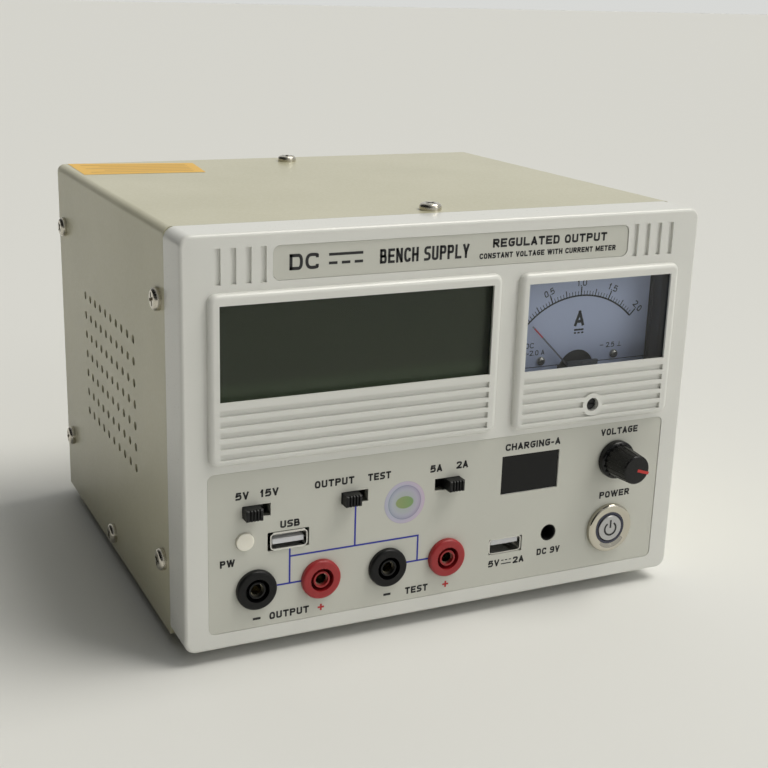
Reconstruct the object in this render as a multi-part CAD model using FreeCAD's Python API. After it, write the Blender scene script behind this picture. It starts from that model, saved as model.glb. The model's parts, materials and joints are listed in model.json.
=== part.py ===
import FreeCAD, Part
import math
import os

# Bench power supply: a sheet-steel case with a moulded front bezel, a display, a moving-coil
# meter, banana sockets, USB sockets, three slide switches, a control knob and a power button.
#
# Working frame, millimetres: x runs across the front from its middle, y runs into the case from
# the bezel's front plane, z runs up from the bezel's bottom edge. save() shifts each solid to the
# part's own frame, whose origin is the centre of the whole part's footprint, at the feet.

# ---- Driving sizes: case ----
CASE_WIDTH = 195.0
CASE_HEIGHT = 141.0
CASE_DEPTH = 172.5
HALF_WIDTH = CASE_WIDTH / 2
FOOT_HEIGHT = 5.0
KNOB_HEIGHT = 13.9
REAR_REACH = 4.9
FRONT_PLANE_Y = KNOB_HEIGHT - (KNOB_HEIGHT + CASE_DEPTH + REAR_REACH) / 2

SHEET = 1.0
TRAY_SHEET = 1.2
FIT_GAP = 0.15
BEND_RADIUS = 3.0
BEZEL_DEPTH = 17.0
BEZEL_WALL = 3.0
BEZEL_CORNER = 4.0
BEZEL_EDGE = 1.3
LIP_END = 30.0
INSIDE_X = HALF_WIDTH - SHEET - FIT_GAP
INSIDE_TOP = CASE_HEIGHT - SHEET - FIT_GAP
INSIDE_BOTTOM = TRAY_SHEET + FIT_GAP
LIP_WALL = 1.95

# ---- Driving sizes: screws ----
SCREW_RADIUS = 1.9
SCREW_HOLE = 2.05
SCREW_HEAD_RADIUS = 3.9
SCREW_HEAD_HEIGHT = 2.4
SIDE_SCREWS = [(23.7, 116.5), (162.0, 116.5), (23.7, 25.3), (162.0, 25.3), (93.0, 7.0)]
TOP_SCREWS = [23.7, 160.0]

# ---- Driving sizes: vents in the two sides ----
VENT_COLUMNS = 10
VENT_ROWS = 7
VENT_PITCH = 8.0
VENT_RADIUS = 1.6
VENT_FIRST = (57.0, 46.7)

# ---- Driving sizes: raised frames around the display and the meter ----
FRAME_RISE = 2.5
FRAME_Z = (65.8, 122.5)
FRAME_CORNER = 3.0
FRAME_EDGE = 1.8
DISPLAY_FRAME_X = (-89.0, 15.5)
DISPLAY_WINDOW_X = (-85.6, 12.0)
METER_FRAME_X = (23.0, 89.0)
METER_DROP = 0.7
METER_WINDOW_X = (26.0, 85.4)
WINDOW_Z = (87.4, 118.8)
WINDOW_FRONT = -1.6
GROOVE_COUNT = 5
GROOVE_TOP = 84.9
GROOVE_PITCH = 3.68
GROOVE_WIDTH = 2.1
GROOVE_DEPTH = 1.0
LCD_X = (-86.0, 13.0)
LCD_Z = (84.0, 121.5)

# ---- Driving sizes: labels, set into shallow recesses ----
LABEL_THICKNESS = 0.3
OVERLAY_X = 89.3
OVERLAY_Z = (5.8, 62.8)
OVERLAY_RECESS = 0.5
HIDDEN_MARGIN = 0.8
PLATE_X = 67.1
PLATE_Z = (125.1, 136.4)
PLATE_RECESS = 0.6
SLOT_X = [70.2, 75.2, 80.2, 85.3]
SLOT_WIDTH = 2.0
SLOT_Z = (124.9, 136.4)
SLOT_DEPTH = 1.0

# ---- Driving sizes: controls and sockets, as (x, z) on the front ----
SWITCHES = [(-72.4, 48.2, "left"), (-36.9, 48.2, "left"), (-1.2, 48.2, "right")]
SWITCH_SLOT = (10.0, 4.4)
SLIDER_SIZE = (5.8, 4.0)
SLIDER_REACH = 4.0
SLIDER_TRAVEL = 3.8
LENS = (-76.6, 38.0)
LENS_RADIUS = 3.1
OUTPUT_USB = (-61.0, 36.4)
CHARGE_USB = (24.1, 20.5)
USB_SHELL = (13.4, 5.9)
OUTPUT_USB_GAP = 0.8
CHARGE_USB_GAP = 0.25
JACK = (42.3, 22.7)
JACK_RADIUS = 3.25
CHARGE_DISPLAY_X = (20.7, 44.7)
CHARGE_DISPLAY_Z = (40.5, 55.2)
SOCKET_Z = 20.1
SOCKETS = {
    "output_negative_socket": -72.6,
    "output_positive_socket": -49.2,
    "test_negative_socket": -23.9,
    "test_positive_socket": -0.6,
}
SOCKET_HEAD_RADIUS = 7.1
SOCKET_HEAD_HEIGHT = 1.8
SOCKET_BARREL_RADIUS = 5.6
CONTACT_BORE = 2.0
CONTACT_RADIUS = 2.3
CONTACT_FRONT = 0.2
CONTACT_DEPTH = 14.0
KNOB = (69.3, 48.5)
BUTTON = (68.9, 21.0)
BUTTON_BARREL_RADIUS = 8.0
BUTTON_TRAVEL = 2.0
SHAFT_RADIUS = 3.0
RUNNING_GAP = 0.05

# ---- Driving sizes: meter ----
METER_PIVOT = (55.7, 79.1)
METER_X = (24.4, 87.8)
METER_Z = (67.2, 121.3)
METER_BASE_Z = 63.5
METER_COVER_X = (25.05, 87.15)
METER_COVER_Z = (67.85, 120.65)
METER_SLEEVE_Z = (84.95, 120.45)
METER_SLEEVE = 0.6
METER_WALL = 1.5
DIAL_Y = (9.9, 10.4)
DIAL_SCREWS = [(40.2, 86.3), (71.8, 86.3)]
POINTER_LENGTH = 29.5
POINTER_REST = 45.0
ZERO_SCREW = (55.65, 71.8)

# ---- Driving sizes: inside and rear ----
BOARD = 1.6
FRONT_BOARD_Y = 13.0
FAN_CENTRE = (48.0, 72.0)
FAN_SIZE = 60.0
FAN_DEPTH = 20.0
FAN_PITCH = 25.0
INLET = (-62.0, 32.0)
FUSE = (-18.0, 32.0)
REAR_SHEET_Y = (CASE_DEPTH - TRAY_SHEET, CASE_DEPTH)
FEET = [(-72.0, 32.0), (72.0, 32.0), (-72.0, 146.0), (72.0, 146.0)]
TRANSFORMER_X = (-86.0, -20.0)
TRANSFORMER_Y = (84.0, 116.0)
TRANSFORMER_Z = (1.2, 56.2)
TRANSFORMER_FEET = [(x, y) for x in (-91.0, -15.0) for y in (88.0, 112.0)]
STANDOFFS = [(x, y) for x in (10.0, 78.0) for y in (48.0, 104.0)]


# ---- Small geometry helpers ----

def block(x, y, z):
    """A box between the two limits given on each axis."""
    corner = FreeCAD.Vector(x[0], y[0], z[0])
    return Part.makeBox(x[1] - x[0], y[1] - y[0], z[1] - z[0], corner)


def rounded_block(x, y, z, radius):
    """A box whose four edges along y are rounded."""
    solid = block(x, y, z)
    edges = [e for e in solid.Edges if abs(e.tangentAt(e.FirstParameter).y) > 0.9]
    return solid.makeFillet(radius, edges)


def rod(x, z, y, radius):
    """A cylinder along y between two depths."""
    start = FreeCAD.Vector(x, y[0], z)
    return Part.makeCylinder(radius, y[1] - y[0], start, FreeCAD.Vector(0, 1, 0))


def rod_x(x, y, z, radius):
    """A cylinder along x between two limits."""
    start = FreeCAD.Vector(x[0], y, z)
    return Part.makeCylinder(radius, x[1] - x[0], start, FreeCAD.Vector(1, 0, 0))


def rod_z(x, y, z, radius):
    """A cylinder along z between two heights."""
    start = FreeCAD.Vector(x, y, z[0])
    return Part.makeCylinder(radius, z[1] - z[0], start, FreeCAD.Vector(0, 0, 1))


def cone(x, z, y, radii):
    """A cone along y, with a radius at each of two depths."""
    start = FreeCAD.Vector(x, y[0], z)
    return Part.makeCone(radii[0], radii[1], y[1] - y[0], start, FreeCAD.Vector(0, 1, 0))


def hexagon(x, z, y, across_flats):
    """A hexagonal prism along y."""
    reach = across_flats / math.sqrt(3)
    points = []
    for corner in range(7):
        angle = math.radians(60 * corner)
        points.append(FreeCAD.Vector(x + reach * math.cos(angle), y[0], z + reach * math.sin(angle)))
    return Part.Face(Part.makePolygon(points)).extrude(FreeCAD.Vector(0, y[1] - y[0], 0))


def front_edges(solid, depth):
    """The edges of a solid that lie wholly in one plane of constant y."""
    return [e for e in solid.Edges if abs(e.BoundBox.YMin - depth) + abs(e.BoundBox.YMax - depth) < 0.01]


def fuse(shapes):
    """One solid from several that touch or overlap."""
    return shapes[0].multiFuse(shapes[1:]).removeSplitter()


def save(name, solids):
    """Write one node, holding one solid or a list of separate solids, in the part's own frame."""
    shape = Part.makeCompound(solids) if isinstance(solids, list) else solids
    shape = shape.copy()
    shape.translate(FreeCAD.Vector(0, FRONT_PLANE_Y, FOOT_HEIGHT))
    shape.exportStep("parts/" + name + ".step")


# ---- Screws ----

def pan_head_screw(length):
    """A pan-head screw with a cross recess, head upwards from z = 0 and thread below it."""
    head = rod_z(0, 0, (0, SCREW_HEAD_HEIGHT), SCREW_HEAD_RADIUS)
    rim = [e for e in head.Edges if e.BoundBox.ZMin > SCREW_HEAD_HEIGHT - 0.01]
    head = head.makeFillet(1.4, rim)
    recess_z = (SCREW_HEAD_HEIGHT - 1.3, SCREW_HEAD_HEIGHT + 1)
    cross = block((-2.2, 2.2), (-0.5, 0.5), recess_z).fuse(block((-0.5, 0.5), (-2.2, 2.2), recess_z))
    shank = rod_z(0, 0, (-length, 0), SCREW_RADIUS)
    return head.cut(cross).fuse(shank)


def placed_screw(length, point, direction, turn=20):
    """A pan-head screw whose head stands on a point and faces a direction."""
    screw = pan_head_screw(length)
    screw.rotate(FreeCAD.Vector(0, 0, 0), FreeCAD.Vector(0, 0, 1), turn)
    turned = FreeCAD.Rotation(FreeCAD.Vector(0, 0, 1), FreeCAD.Vector(*direction))
    screw.Placement = FreeCAD.Placement(FreeCAD.Vector(*point), turned).multiply(screw.Placement)
    return screw


def make_cover_screws():
    """Ten screws in the sides and two in the top hold the cover."""
    screws = []
    for number, (y, z) in enumerate(SIDE_SCREWS):
        for side in (-1, 1):
            screws.append(placed_screw(7, (side * HALF_WIDTH, y, z), (side, 0, 0), 17 + 31 * number))
    for number, y in enumerate(TOP_SCREWS):
        screws.append(placed_screw(7, (0, y, CASE_HEIGHT), (0, 0, 1), 25 + 40 * number))
    save("cover_screws", screws)


def make_chassis_screws():
    """Screws for the feet, the transformer, the main board, the fan and the rear panel."""
    screws = []
    for x, y in FEET:
        screws.append(placed_screw(3.5, (x, y, -2.3), (0, 0, -1)))
    for x, y in TRANSFORMER_FEET:
        screws.append(placed_screw(4.5, (x, y, TRAY_SHEET + 1.5), (0, 0, 1)))
    for x, y in STANDOFFS:
        screws.append(placed_screw(4, (x, y, 8 + BOARD), (0, 0, 1)))
    for x in (-FAN_PITCH, FAN_PITCH):
        for z in (-FAN_PITCH, FAN_PITCH):
            point = (FAN_CENTRE[0] + x, CASE_DEPTH, FAN_CENTRE[1] + z)
            screws.append(placed_screw(18, point, (0, 1, 0)))
    for x in (-20, 20):
        screws.append(placed_screw(7, (INLET[0] + x, CASE_DEPTH + 2.5, INLET[1]), (0, 1, 0)))
    save("chassis_screws", screws)


# ---- Case ----

def bezel_openings(margin):
    """Every hole that the control label and the wall behind it share. A margin makes the openings
    that stay open larger, so that the wall's edges hide behind the label's."""
    through = (-1, BEZEL_WALL + 0.1)
    holes = []
    for x, z, _ in SWITCHES:
        half_x = SWITCH_SLOT[0] / 2 + margin
        half_z = SWITCH_SLOT[1] / 2 + margin
        holes.append(block((x - half_x, x + half_x), through, (z - half_z, z + half_z)))
    holes.append(rod(LENS[0], LENS[1], through, LENS_RADIUS + 0.1))
    for usb, gap in ((OUTPUT_USB, OUTPUT_USB_GAP), (CHARGE_USB, CHARGE_USB_GAP)):
        half_x = USB_SHELL[0] / 2 + gap + margin
        half_z = USB_SHELL[1] / 2 + gap / 2 + margin
        x = (usb[0] - half_x, usb[0] + half_x)
        holes.append(rounded_block(x, through, (usb[1] - half_z, usb[1] + half_z), 0.4))
    holes.append(rod(JACK[0], JACK[1], through, JACK_RADIUS + margin))
    holes.append(block(CHARGE_DISPLAY_X, through, CHARGE_DISPLAY_Z))
    for x in SOCKETS.values():
        holes.append(rod(x, SOCKET_Z, through, SOCKET_BARREL_RADIUS + 0.15))
    holes.append(rod(KNOB[0], KNOB[1], through, 3.6))
    holes.append(rod(BUTTON[0], BUTTON[1], through, BUTTON_BARREL_RADIUS + 0.15))
    return holes


def raised_frame(x, window_x, drop):
    """The raised surround of one window, with its five grooves, lowered by a drop."""
    z = (FRAME_Z[0] - drop, FRAME_Z[1] - drop)
    frame = rounded_block(x, (-FRAME_RISE, 0.5), z, FRAME_CORNER)
    frame = frame.makeFillet(FRAME_EDGE, front_edges(frame, -FRAME_RISE))
    cuts = [block(window_x, (-FRAME_RISE - 1, 2), (WINDOW_Z[0] - drop, WINDOW_Z[1] - drop))]
    for number in range(GROOVE_COUNT):
        top = GROOVE_TOP - drop - GROOVE_PITCH * number
        groove_y = (-FRAME_RISE - 1, -FRAME_RISE + GROOVE_DEPTH)
        cuts.append(block(window_x, groove_y, (top - GROOVE_WIDTH, top)))
    return frame.cut(Part.makeCompound(cuts))


def bezel_bosses():
    """Screw bosses for the cover, on the lip, and posts for the three front boards."""
    bosses = []
    for side in (-1, 1):
        for y, z in SIDE_SCREWS:
            if y < LIP_END:
                span = sorted((side * (INSIDE_X - LIP_WALL - 5.5), side * (INSIDE_X - 1)))
                bosses.append(rod_x(span, y, z, 4.5))
    bosses.append(rod_z(0, TOP_SCREWS[0], (INSIDE_TOP - LIP_WALL - 5.5, INSIDE_TOP - 1), 4.5))
    for x, z in [(-90, 33), (-90, 54), (9.7, 33), (9.7, 54), (16, 16), (49, 60), (16, 60), (50, 14)]:
        bosses.append(rod(x, z, (BEZEL_WALL - 0.5, FRONT_BOARD_Y), 2.2))
    for x, z in [(-90, 68), (-90, 123), (18, 68), (18, 123)]:
        bosses.append(rod(x, z, (BEZEL_WALL - 0.5, 9), 2.2))
    return bosses


def window_pockets():
    """The openings of both windows, and the stepped pockets behind them for what they hold."""
    wall_back = BEZEL_WALL + 0.1
    front = (WINDOW_FRONT - 0.1, wall_back)
    cuts = [block(DISPLAY_WINDOW_X, (-3, wall_back), WINDOW_Z)]
    around = (DISPLAY_WINDOW_X[0] - 1.5, DISPLAY_WINDOW_X[1] + 1.5)
    cuts.append(block(around, front, (WINDOW_Z[0] - 1.5, WINDOW_Z[1] + 1.5)))
    cuts.append(block((LCD_X[0] - 0.2, LCD_X[1] + 0.2), (0.4, wall_back), (LCD_Z[0] - 0.2, LCD_Z[1] + 0.2)))
    cuts.append(block(METER_WINDOW_X, (-3, wall_back), (WINDOW_Z[0] - METER_DROP, WINDOW_Z[1] - METER_DROP)))
    pocket_x = (METER_X[0] - 0.2, METER_X[1] + 0.2)
    cuts.append(block(pocket_x, front, (METER_SLEEVE_Z[0] - 0.15, METER_SLEEVE_Z[1] + 0.15)))
    cuts.append(block(pocket_x, (0.4, wall_back), (METER_Z[0] - 0.2, METER_Z[1] + 0.2)))
    return cuts


def make_front_bezel():
    """The moulded front: shell, lip under the cover, raised frames, recesses and openings."""
    shell = rounded_block((-HALF_WIDTH, HALF_WIDTH), (0, BEZEL_DEPTH), (0, CASE_HEIGHT), BEZEL_CORNER)
    shell = shell.makeFillet(BEZEL_EDGE, front_edges(shell, 0))
    lip_x = (-INSIDE_X, INSIDE_X)
    lip = rounded_block(lip_x, (BEZEL_WALL, LIP_END), (INSIDE_BOTTOM, INSIDE_TOP), 2.6)
    inner_x = INSIDE_X - LIP_WALL
    inner_z = (INSIDE_BOTTOM + LIP_WALL, INSIDE_TOP - LIP_WALL)
    hollow = rounded_block((-inner_x, inner_x), (BEZEL_WALL, LIP_END + 1), inner_z, 1.5)
    body = shell.fuse(lip).cut(hollow)
    frames = [raised_frame(DISPLAY_FRAME_X, DISPLAY_WINDOW_X, 0)]
    frames.append(raised_frame(METER_FRAME_X, METER_WINDOW_X, METER_DROP))
    adjuster_boss = rod(ZERO_SCREW[0], ZERO_SCREW[1], (-FRAME_RISE, -1), 4.2)
    body = fuse([body] + frames + [adjuster_boss] + bezel_bosses())
    cuts = bezel_openings(HIDDEN_MARGIN) + window_pockets()
    cuts.append(rod(ZERO_SCREW[0], ZERO_SCREW[1], (-3, 1), 2.5))
    cuts.append(rounded_block((-OVERLAY_X, OVERLAY_X), (-1, OVERLAY_RECESS), OVERLAY_Z, 2.2))
    cuts.append(rounded_block((-PLATE_X, PLATE_X), (-1, PLATE_RECESS), PLATE_Z, 2.5))
    for x in SLOT_X:
        for side in (-1, 1):
            slot_x = (side * x - SLOT_WIDTH / 2, side * x + SLOT_WIDTH / 2)
            cuts.append(block(slot_x, (-1, SLOT_DEPTH), SLOT_Z))
    for side in (-1, 1):
        for y, z in SIDE_SCREWS:
            if y < LIP_END:
                cuts.append(rod_x(sorted((side * 88.5, side * 98)), y, z, SCREW_HOLE))
    cuts.append(rod_z(0, TOP_SCREWS[0], (132.5, 142), SCREW_HOLE))
    save("front_bezel", body.cut(Part.makeCompound(cuts)))


def make_labels():
    """The printed control label and the name plate, each set into its recess."""
    z = (OVERLAY_Z[0] + 0.15, OVERLAY_Z[1] - 0.15)
    half = OVERLAY_X - 0.15
    overlay_y = (OVERLAY_RECESS - LABEL_THICKNESS, OVERLAY_RECESS)
    overlay = rounded_block((-half, half), overlay_y, z, 2.1)
    save("control_overlay", overlay.cut(Part.makeCompound(bezel_openings(0))))
    z = (PLATE_Z[0] + 0.15, PLATE_Z[1] - 0.15)
    half = PLATE_X - 0.15
    save("name_plate", rounded_block((-half, half), (PLATE_RECESS - LABEL_THICKNESS, PLATE_RECESS), z, 2.4))


def make_case_cover():
    """One folded steel sheet: top and both sides, with a field of round vents in each side."""
    y = (BEZEL_DEPTH + 0.2, CASE_DEPTH)
    outer = rounded_block((-HALF_WIDTH, HALF_WIDTH), y, (-20, CASE_HEIGHT), BEND_RADIUS)
    inner_x = HALF_WIDTH - SHEET
    past = (y[0] - 1, y[1] + 1)
    inner = rounded_block((-inner_x, inner_x), past, (-30, CASE_HEIGHT - SHEET), BEND_RADIUS - SHEET)
    below = block((-HALF_WIDTH - 1, HALF_WIDTH + 1), past, (-31, 0))
    holes = [below]
    for column in range(VENT_COLUMNS):
        for row in range(VENT_ROWS):
            vent_y = VENT_FIRST[0] + VENT_PITCH * column
            vent_z = VENT_FIRST[1] + VENT_PITCH * row
            for side in (-1, 1):
                span = sorted((side * (HALF_WIDTH - 3), side * (HALF_WIDTH + 1)))
                holes.append(rod_x(span, vent_y, vent_z, VENT_RADIUS))
    for side_y, side_z in SIDE_SCREWS:
        for side in (-1, 1):
            span = sorted((side * (HALF_WIDTH - 3), side * (HALF_WIDTH + 1)))
            holes.append(rod_x(span, side_y, side_z, SCREW_HOLE))
    for top_y in TOP_SCREWS:
        holes.append(rod_z(0, top_y, (CASE_HEIGHT - 3, CASE_HEIGHT + 1), SCREW_HOLE))
    save("case_cover", outer.cut(inner).cut(Part.makeCompound(holes)))


def make_chassis_tray():
    """The bottom sheet, with folded side flanges and pressed-in board standoffs."""
    y = (BEZEL_DEPTH + 0.3, REAR_SHEET_Y[0] - 0.1)
    parts = [block((-INSIDE_X, INSIDE_X), y, (0, TRAY_SHEET))]
    for side in (-1, 1):
        flange_x = sorted((side * (INSIDE_X - TRAY_SHEET), side * INSIDE_X))
        parts.append(block(flange_x, (LIP_END + 1, 154), (0, 16)))
    for x, standoff_y in STANDOFFS:
        parts.append(rod_z(x, standoff_y, (0.5, 8), 3))
    holes = []
    for x, foot_y in FEET + TRANSFORMER_FEET:
        holes.append(rod_z(x, foot_y, (-1, 3), SCREW_HOLE))
    for x, standoff_y in STANDOFFS:
        holes.append(rod_z(x, standoff_y, (2, 9), SCREW_HOLE))
    for side_y, side_z in SIDE_SCREWS:
        if LIP_END < side_y < 154:
            holes.append(rod_x((-98, 98), side_y, side_z, SCREW_HOLE))
    save("chassis_tray", fuse(parts).cut(Part.makeCompound(holes)))


def fan_grille():
    """Arc slots in rings for the fan, as solids to cut from the rear panel."""
    slots = []
    for ring, radius in enumerate((9.0, 15.0, 21.0, 27.0)):
        inner = rod(FAN_CENTRE[0], FAN_CENTRE[1], (165, 180), radius - 1.8)
        outer = rod(FAN_CENTRE[0], FAN_CENTRE[1], (165, 180), radius + 1.8)
        band = outer.cut(inner)
        for turn in (0, 90):
            rib = block((-40, 40), (160, 185), (-1.6, 1.6))
            rib.rotate(FreeCAD.Vector(0, 0, 0), FreeCAD.Vector(0, 1, 0), 45 + turn)
            rib.translate(FreeCAD.Vector(FAN_CENTRE[0], 0, FAN_CENTRE[1]))
            band = band.cut(rib)
        slots.append(band)
    return slots


def make_rear_panel():
    """The flat rear sheet with flanges for the cover's rear screws."""
    z = (INSIDE_BOTTOM, INSIDE_TOP)
    parts = [rounded_block((-INSIDE_X, INSIDE_X), REAR_SHEET_Y, z, 2.2)]
    for side in (-1, 1):
        flange_x = sorted((side * (INSIDE_X - TRAY_SHEET), side * INSIDE_X))
        parts.append(block(flange_x, (155, REAR_SHEET_Y[1] - 0.5), (z[0] + 3, z[1] - 3)))
    parts.append(block((-60, 60), (153, REAR_SHEET_Y[1] - 0.5), (z[1] - TRAY_SHEET, z[1])))
    parts.append(block((-60, 60), (157, REAR_SHEET_Y[1] - 0.5), (z[0], z[0] + TRAY_SHEET)))
    holes = fan_grille()
    for x in (-FAN_PITCH, FAN_PITCH):
        for fan_z in (-FAN_PITCH, FAN_PITCH):
            holes.append(rod(FAN_CENTRE[0] + x, FAN_CENTRE[1] + fan_z, (165, 180), SCREW_HOLE))
    holes.append(block((INLET[0] - 13.7, INLET[0] + 13.7), (165, 180), (INLET[1] - 10, INLET[1] + 10)))
    for x in (-20, 20):
        holes.append(rod(INLET[0] + x, INLET[1], (165, 180), SCREW_HOLE))
    holes.append(rod(FUSE[0], FUSE[1], (165, 180), 6.15))
    for side_y, side_z in SIDE_SCREWS:
        if side_y > 155:
            holes.append(rod_x((-98, 98), side_y, side_z, SCREW_HOLE))
    holes.append(rod_z(0, TOP_SCREWS[1], (INSIDE_TOP - 3, CASE_HEIGHT), SCREW_HOLE))
    save("rear_panel", fuse(parts).cut(Part.makeCompound(holes)))


def make_feet():
    """Four rubber feet, each a short cone with a counterbore for its screw."""
    feet = []
    for x, y in FEET:
        start = FreeCAD.Vector(x, y, -FOOT_HEIGHT)
        foot = Part.makeCone(6.5, 7.5, FOOT_HEIGHT, start, FreeCAD.Vector(0, 0, 1))
        foot = foot.cut(rod_z(x, y, (-6, -2.3), 4.4))
        feet.append(foot.cut(rod_z(x, y, (-3, 1), SCREW_HOLE)))
    save("feet", feet)


# ---- Display ----

def make_display():
    """The display's window, its liquid-crystal panel and the board behind it."""
    x = (DISPLAY_WINDOW_X[0] - 1.35, DISPLAY_WINDOW_X[1] + 1.35)
    z = (WINDOW_Z[0] - 1.35, WINDOW_Z[1] + 1.35)
    save("lcd_window", block(x, (WINDOW_FRONT, 0.3), z))
    save("lcd_panel", block(LCD_X, (0.5, 9), LCD_Z))
    board = block((-92.5, 20.5), (9, 9 + BOARD), (65.5, 125.5))
    chip = block((-40, -26), (9 + BOARD, 12.2), (96, 110))
    header = block((-20, 5), (9 + BOARD, 16), (70, 76))
    save("display_board", fuse([board, chip, header]))


# ---- Meter ----

def sleeve_ring(z, y, gap):
    """A thin black ring round the clear cover, with a gap that lets the cover slip in."""
    outer = block(METER_X, y, z)
    inner_x = (METER_COVER_X[0] - gap, METER_COVER_X[1] + gap)
    inner_z = (z[0] + METER_SLEEVE, z[1] - METER_SLEEVE)
    return outer.cut(block(inner_x, (y[0] - 1, y[1] + 1), inner_z))


def make_meter_housing():
    """The clear front cover and the black base of the panel meter."""
    window_x = (METER_COVER_X[0], METER_COVER_X[1])
    window_z = (METER_SLEEVE_Z[0] + METER_SLEEVE + 0.05, METER_SLEEVE_Z[1] - METER_SLEEVE - 0.05)
    window = block(window_x, (WINDOW_FRONT + 0.1, 0.6), window_z)
    plate = block(METER_COVER_X, (0.5, 2.5), METER_COVER_Z)
    skirt = block(METER_COVER_X, (2.5, 9), METER_COVER_Z)
    inner_x = (METER_COVER_X[0] + METER_WALL, METER_COVER_X[1] - METER_WALL)
    inner_z = (METER_COVER_Z[0] + METER_WALL, METER_COVER_Z[1] - METER_WALL)
    skirt = skirt.cut(block(inner_x, (2.5, 10), inner_z))
    cover = fuse([plate, skirt, window])
    save("meter_cover", cover.cut(rod(ZERO_SCREW[0], ZERO_SCREW[1], (0, 3), 1.6 + RUNNING_GAP)))

    inner_x = (METER_X[0] + METER_WALL, METER_X[1] - METER_WALL)
    inner_z = (METER_Z[0] + METER_WALL, METER_Z[1] - METER_WALL)
    base = block(METER_X, (9, 30), (METER_BASE_Z, METER_Z[1]))
    floor_y = 30 - METER_WALL
    base = base.cut(block(inner_x, (8, floor_y), (METER_BASE_Z + METER_WALL, inner_z[1])))
    apron = block((inner_x[0] - 1, inner_x[1] + 1), (9, 10.5), (METER_BASE_Z + 1, inner_z[0]))
    apron = apron.cut(rod(METER_PIVOT[0], METER_PIVOT[1], (8, 12), 11.4))
    apron = apron.cut(block((40, 71.4), (8, 12), (64, 73)))
    bosses = [rod(x, z, (DIAL_Y[1], floor_y + 0.5), 2.4) for x, z in DIAL_SCREWS]
    ledge = block((inner_x[0] - 1, inner_x[1] + 1), (12, 13), (75, 86))
    ledge = ledge.cut(rod(METER_PIVOT[0], METER_PIVOT[1], (8, 14), 11.4))
    sleeve = sleeve_ring(METER_Z, (0.45, 9.5), 0.05)
    window_sleeve = sleeve_ring(METER_SLEEVE_Z, (WINDOW_FRONT, 0.45), 0.05)
    base = fuse([base, apron, ledge, sleeve, window_sleeve] + bosses)
    holes = [rod(x, z, (9, 18), 0.8) for x, z in DIAL_SCREWS]
    holes += [rod(x, 100, (27, 31), 2.05) for x in (44, 67.4)]
    holes += [block((x, x + 2.4), (11.9, 13.1), (74, 76.2)) for x in (41.5, 67.5)]
    save("meter_base", base.cut(Part.makeCompound(holes)))


def make_meter_dial():
    """The painted dial plate with its two foot strips, and its two round-head screws."""
    arch = rod(METER_PIVOT[0], METER_PIVOT[1] + 2.3, (9, 11), 7.8)
    dial = block((26.1, 85.8), DIAL_Y, (84.3, 119.4)).cut(arch)
    feet = [block((26.1, METER_PIVOT[0] - 8.2), DIAL_Y, (79.6, 83.9))]
    feet.append(block((METER_PIVOT[0] + 8.2, 85.8), DIAL_Y, (79.6, 83.9)))
    screws = []
    for x, z in DIAL_SCREWS:
        dial = dial.cut(rod(x, z, (9, 11), 0.85))
        dome = rod(x, z, (8.8, DIAL_Y[0]), 1.65)
        dome = dome.makeFillet(0.9, front_edges(dome, 8.8))
        screws.append(dome.fuse(rod(x, z, (DIAL_Y[0], 15), 0.75)))
    save("meter_dial", [dial] + feet)
    save("meter_dial_screws", screws)


def make_meter_movement():
    """The magnet ring, its core and black cap, and the grey bridge over the pivot."""
    x, z = METER_PIVOT
    ring = rod(x, z, (10.7, 26), 9.6).cut(rod(x, z, (10.8, 24), 8.6))
    core = rod(x, z, (11.9, 26), 5.9)
    cap = rod(x, z, (10.45, 10.8), 10.9).cut(block((x - 12, x + 12), (10, 12), (z - 12, z - 3)))
    mount = rod(x, z, (25.5, 28.5), 6)
    movement = fuse([ring, core, cap, mount]).cut(rod(x, z, (10, 11.6), 3.5))
    save("meter_movement", movement)
    bar = block((x - 6.4, x + 6.4), (5.6, 6.8), (84.3, 86.1))
    stop = rod(x, 84.9, (5.2, 5.7), 0.6)
    arm = block((x - 1.8, x + 1.8), (5.6, 6.8), (69.4, 85))
    lower = block((x - 14, x + 14), (5.6, 6.8), (69.4, 72))
    legs = [block((x + a, x + a + 2), (6, 28.5), (69.4, 72)) for a in (-14, 12)]
    jewel = rod(x, z, (5.0, 5.8), 1.4)
    save("meter_bridge", fuse([bar, stop, arm, lower, jewel] + legs))
    studs = []
    for stud_x in (44, 67.4):
        stud = rod(stud_x, 100, (28.6, 44), 2)
        studs.append(stud.fuse(hexagon(stud_x, 100, (30, 33), 7)))
    save("meter_studs", studs)


def make_meter_pointer():
    """The pointer with its hub, tail and moving-coil frame, lying at zero on the scale's left."""
    x, z = METER_PIVOT
    y = (7.7, 8.1)
    hub = rod(x, z, (7.2, 11.1), 1.0)
    disc = rod(x, z, (7.5, 8.3), 2.2)
    arm = block((x - 0.25, x + 0.25), y, (z, z + POINTER_LENGTH))
    tail = block((x - 0.4, x + 0.4), y, (z - 5, z))
    cross = block((x - 7.9, x + 7.9), (11.0, 11.6), (z - 1.2, z + 1.2))
    legs = [block((x + a, x + a + 1.3), (11.1, 22), (z - 1.2, z + 1.2)) for a in (-7.9, 6.6)]
    pointer = fuse([hub, disc, arm, tail, cross] + legs)
    pointer.rotate(FreeCAD.Vector(x, 0, z), FreeCAD.Vector(0, 1, 0), -POINTER_REST)
    save("meter_pointer", pointer)


def make_meter_zero_screw():
    """The slotted screw that sets the pointer's zero, with an off-centre pin behind it."""
    x, z = ZERO_SCREW
    head = rod(x, z, (-0.9, 0.45), 2.15).cut(block((x - 3, x + 3), (-1.5, -0.3), (z - 0.4, z + 0.4)))
    shank = rod(x, z, (0, 3.0), 1.6)
    pin = rod(x, z + 1.0, (2.5, 5.2), 0.4)
    save("meter_zero_screw", fuse([head, shank, pin]))


# ---- Switches and other controls ----

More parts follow.
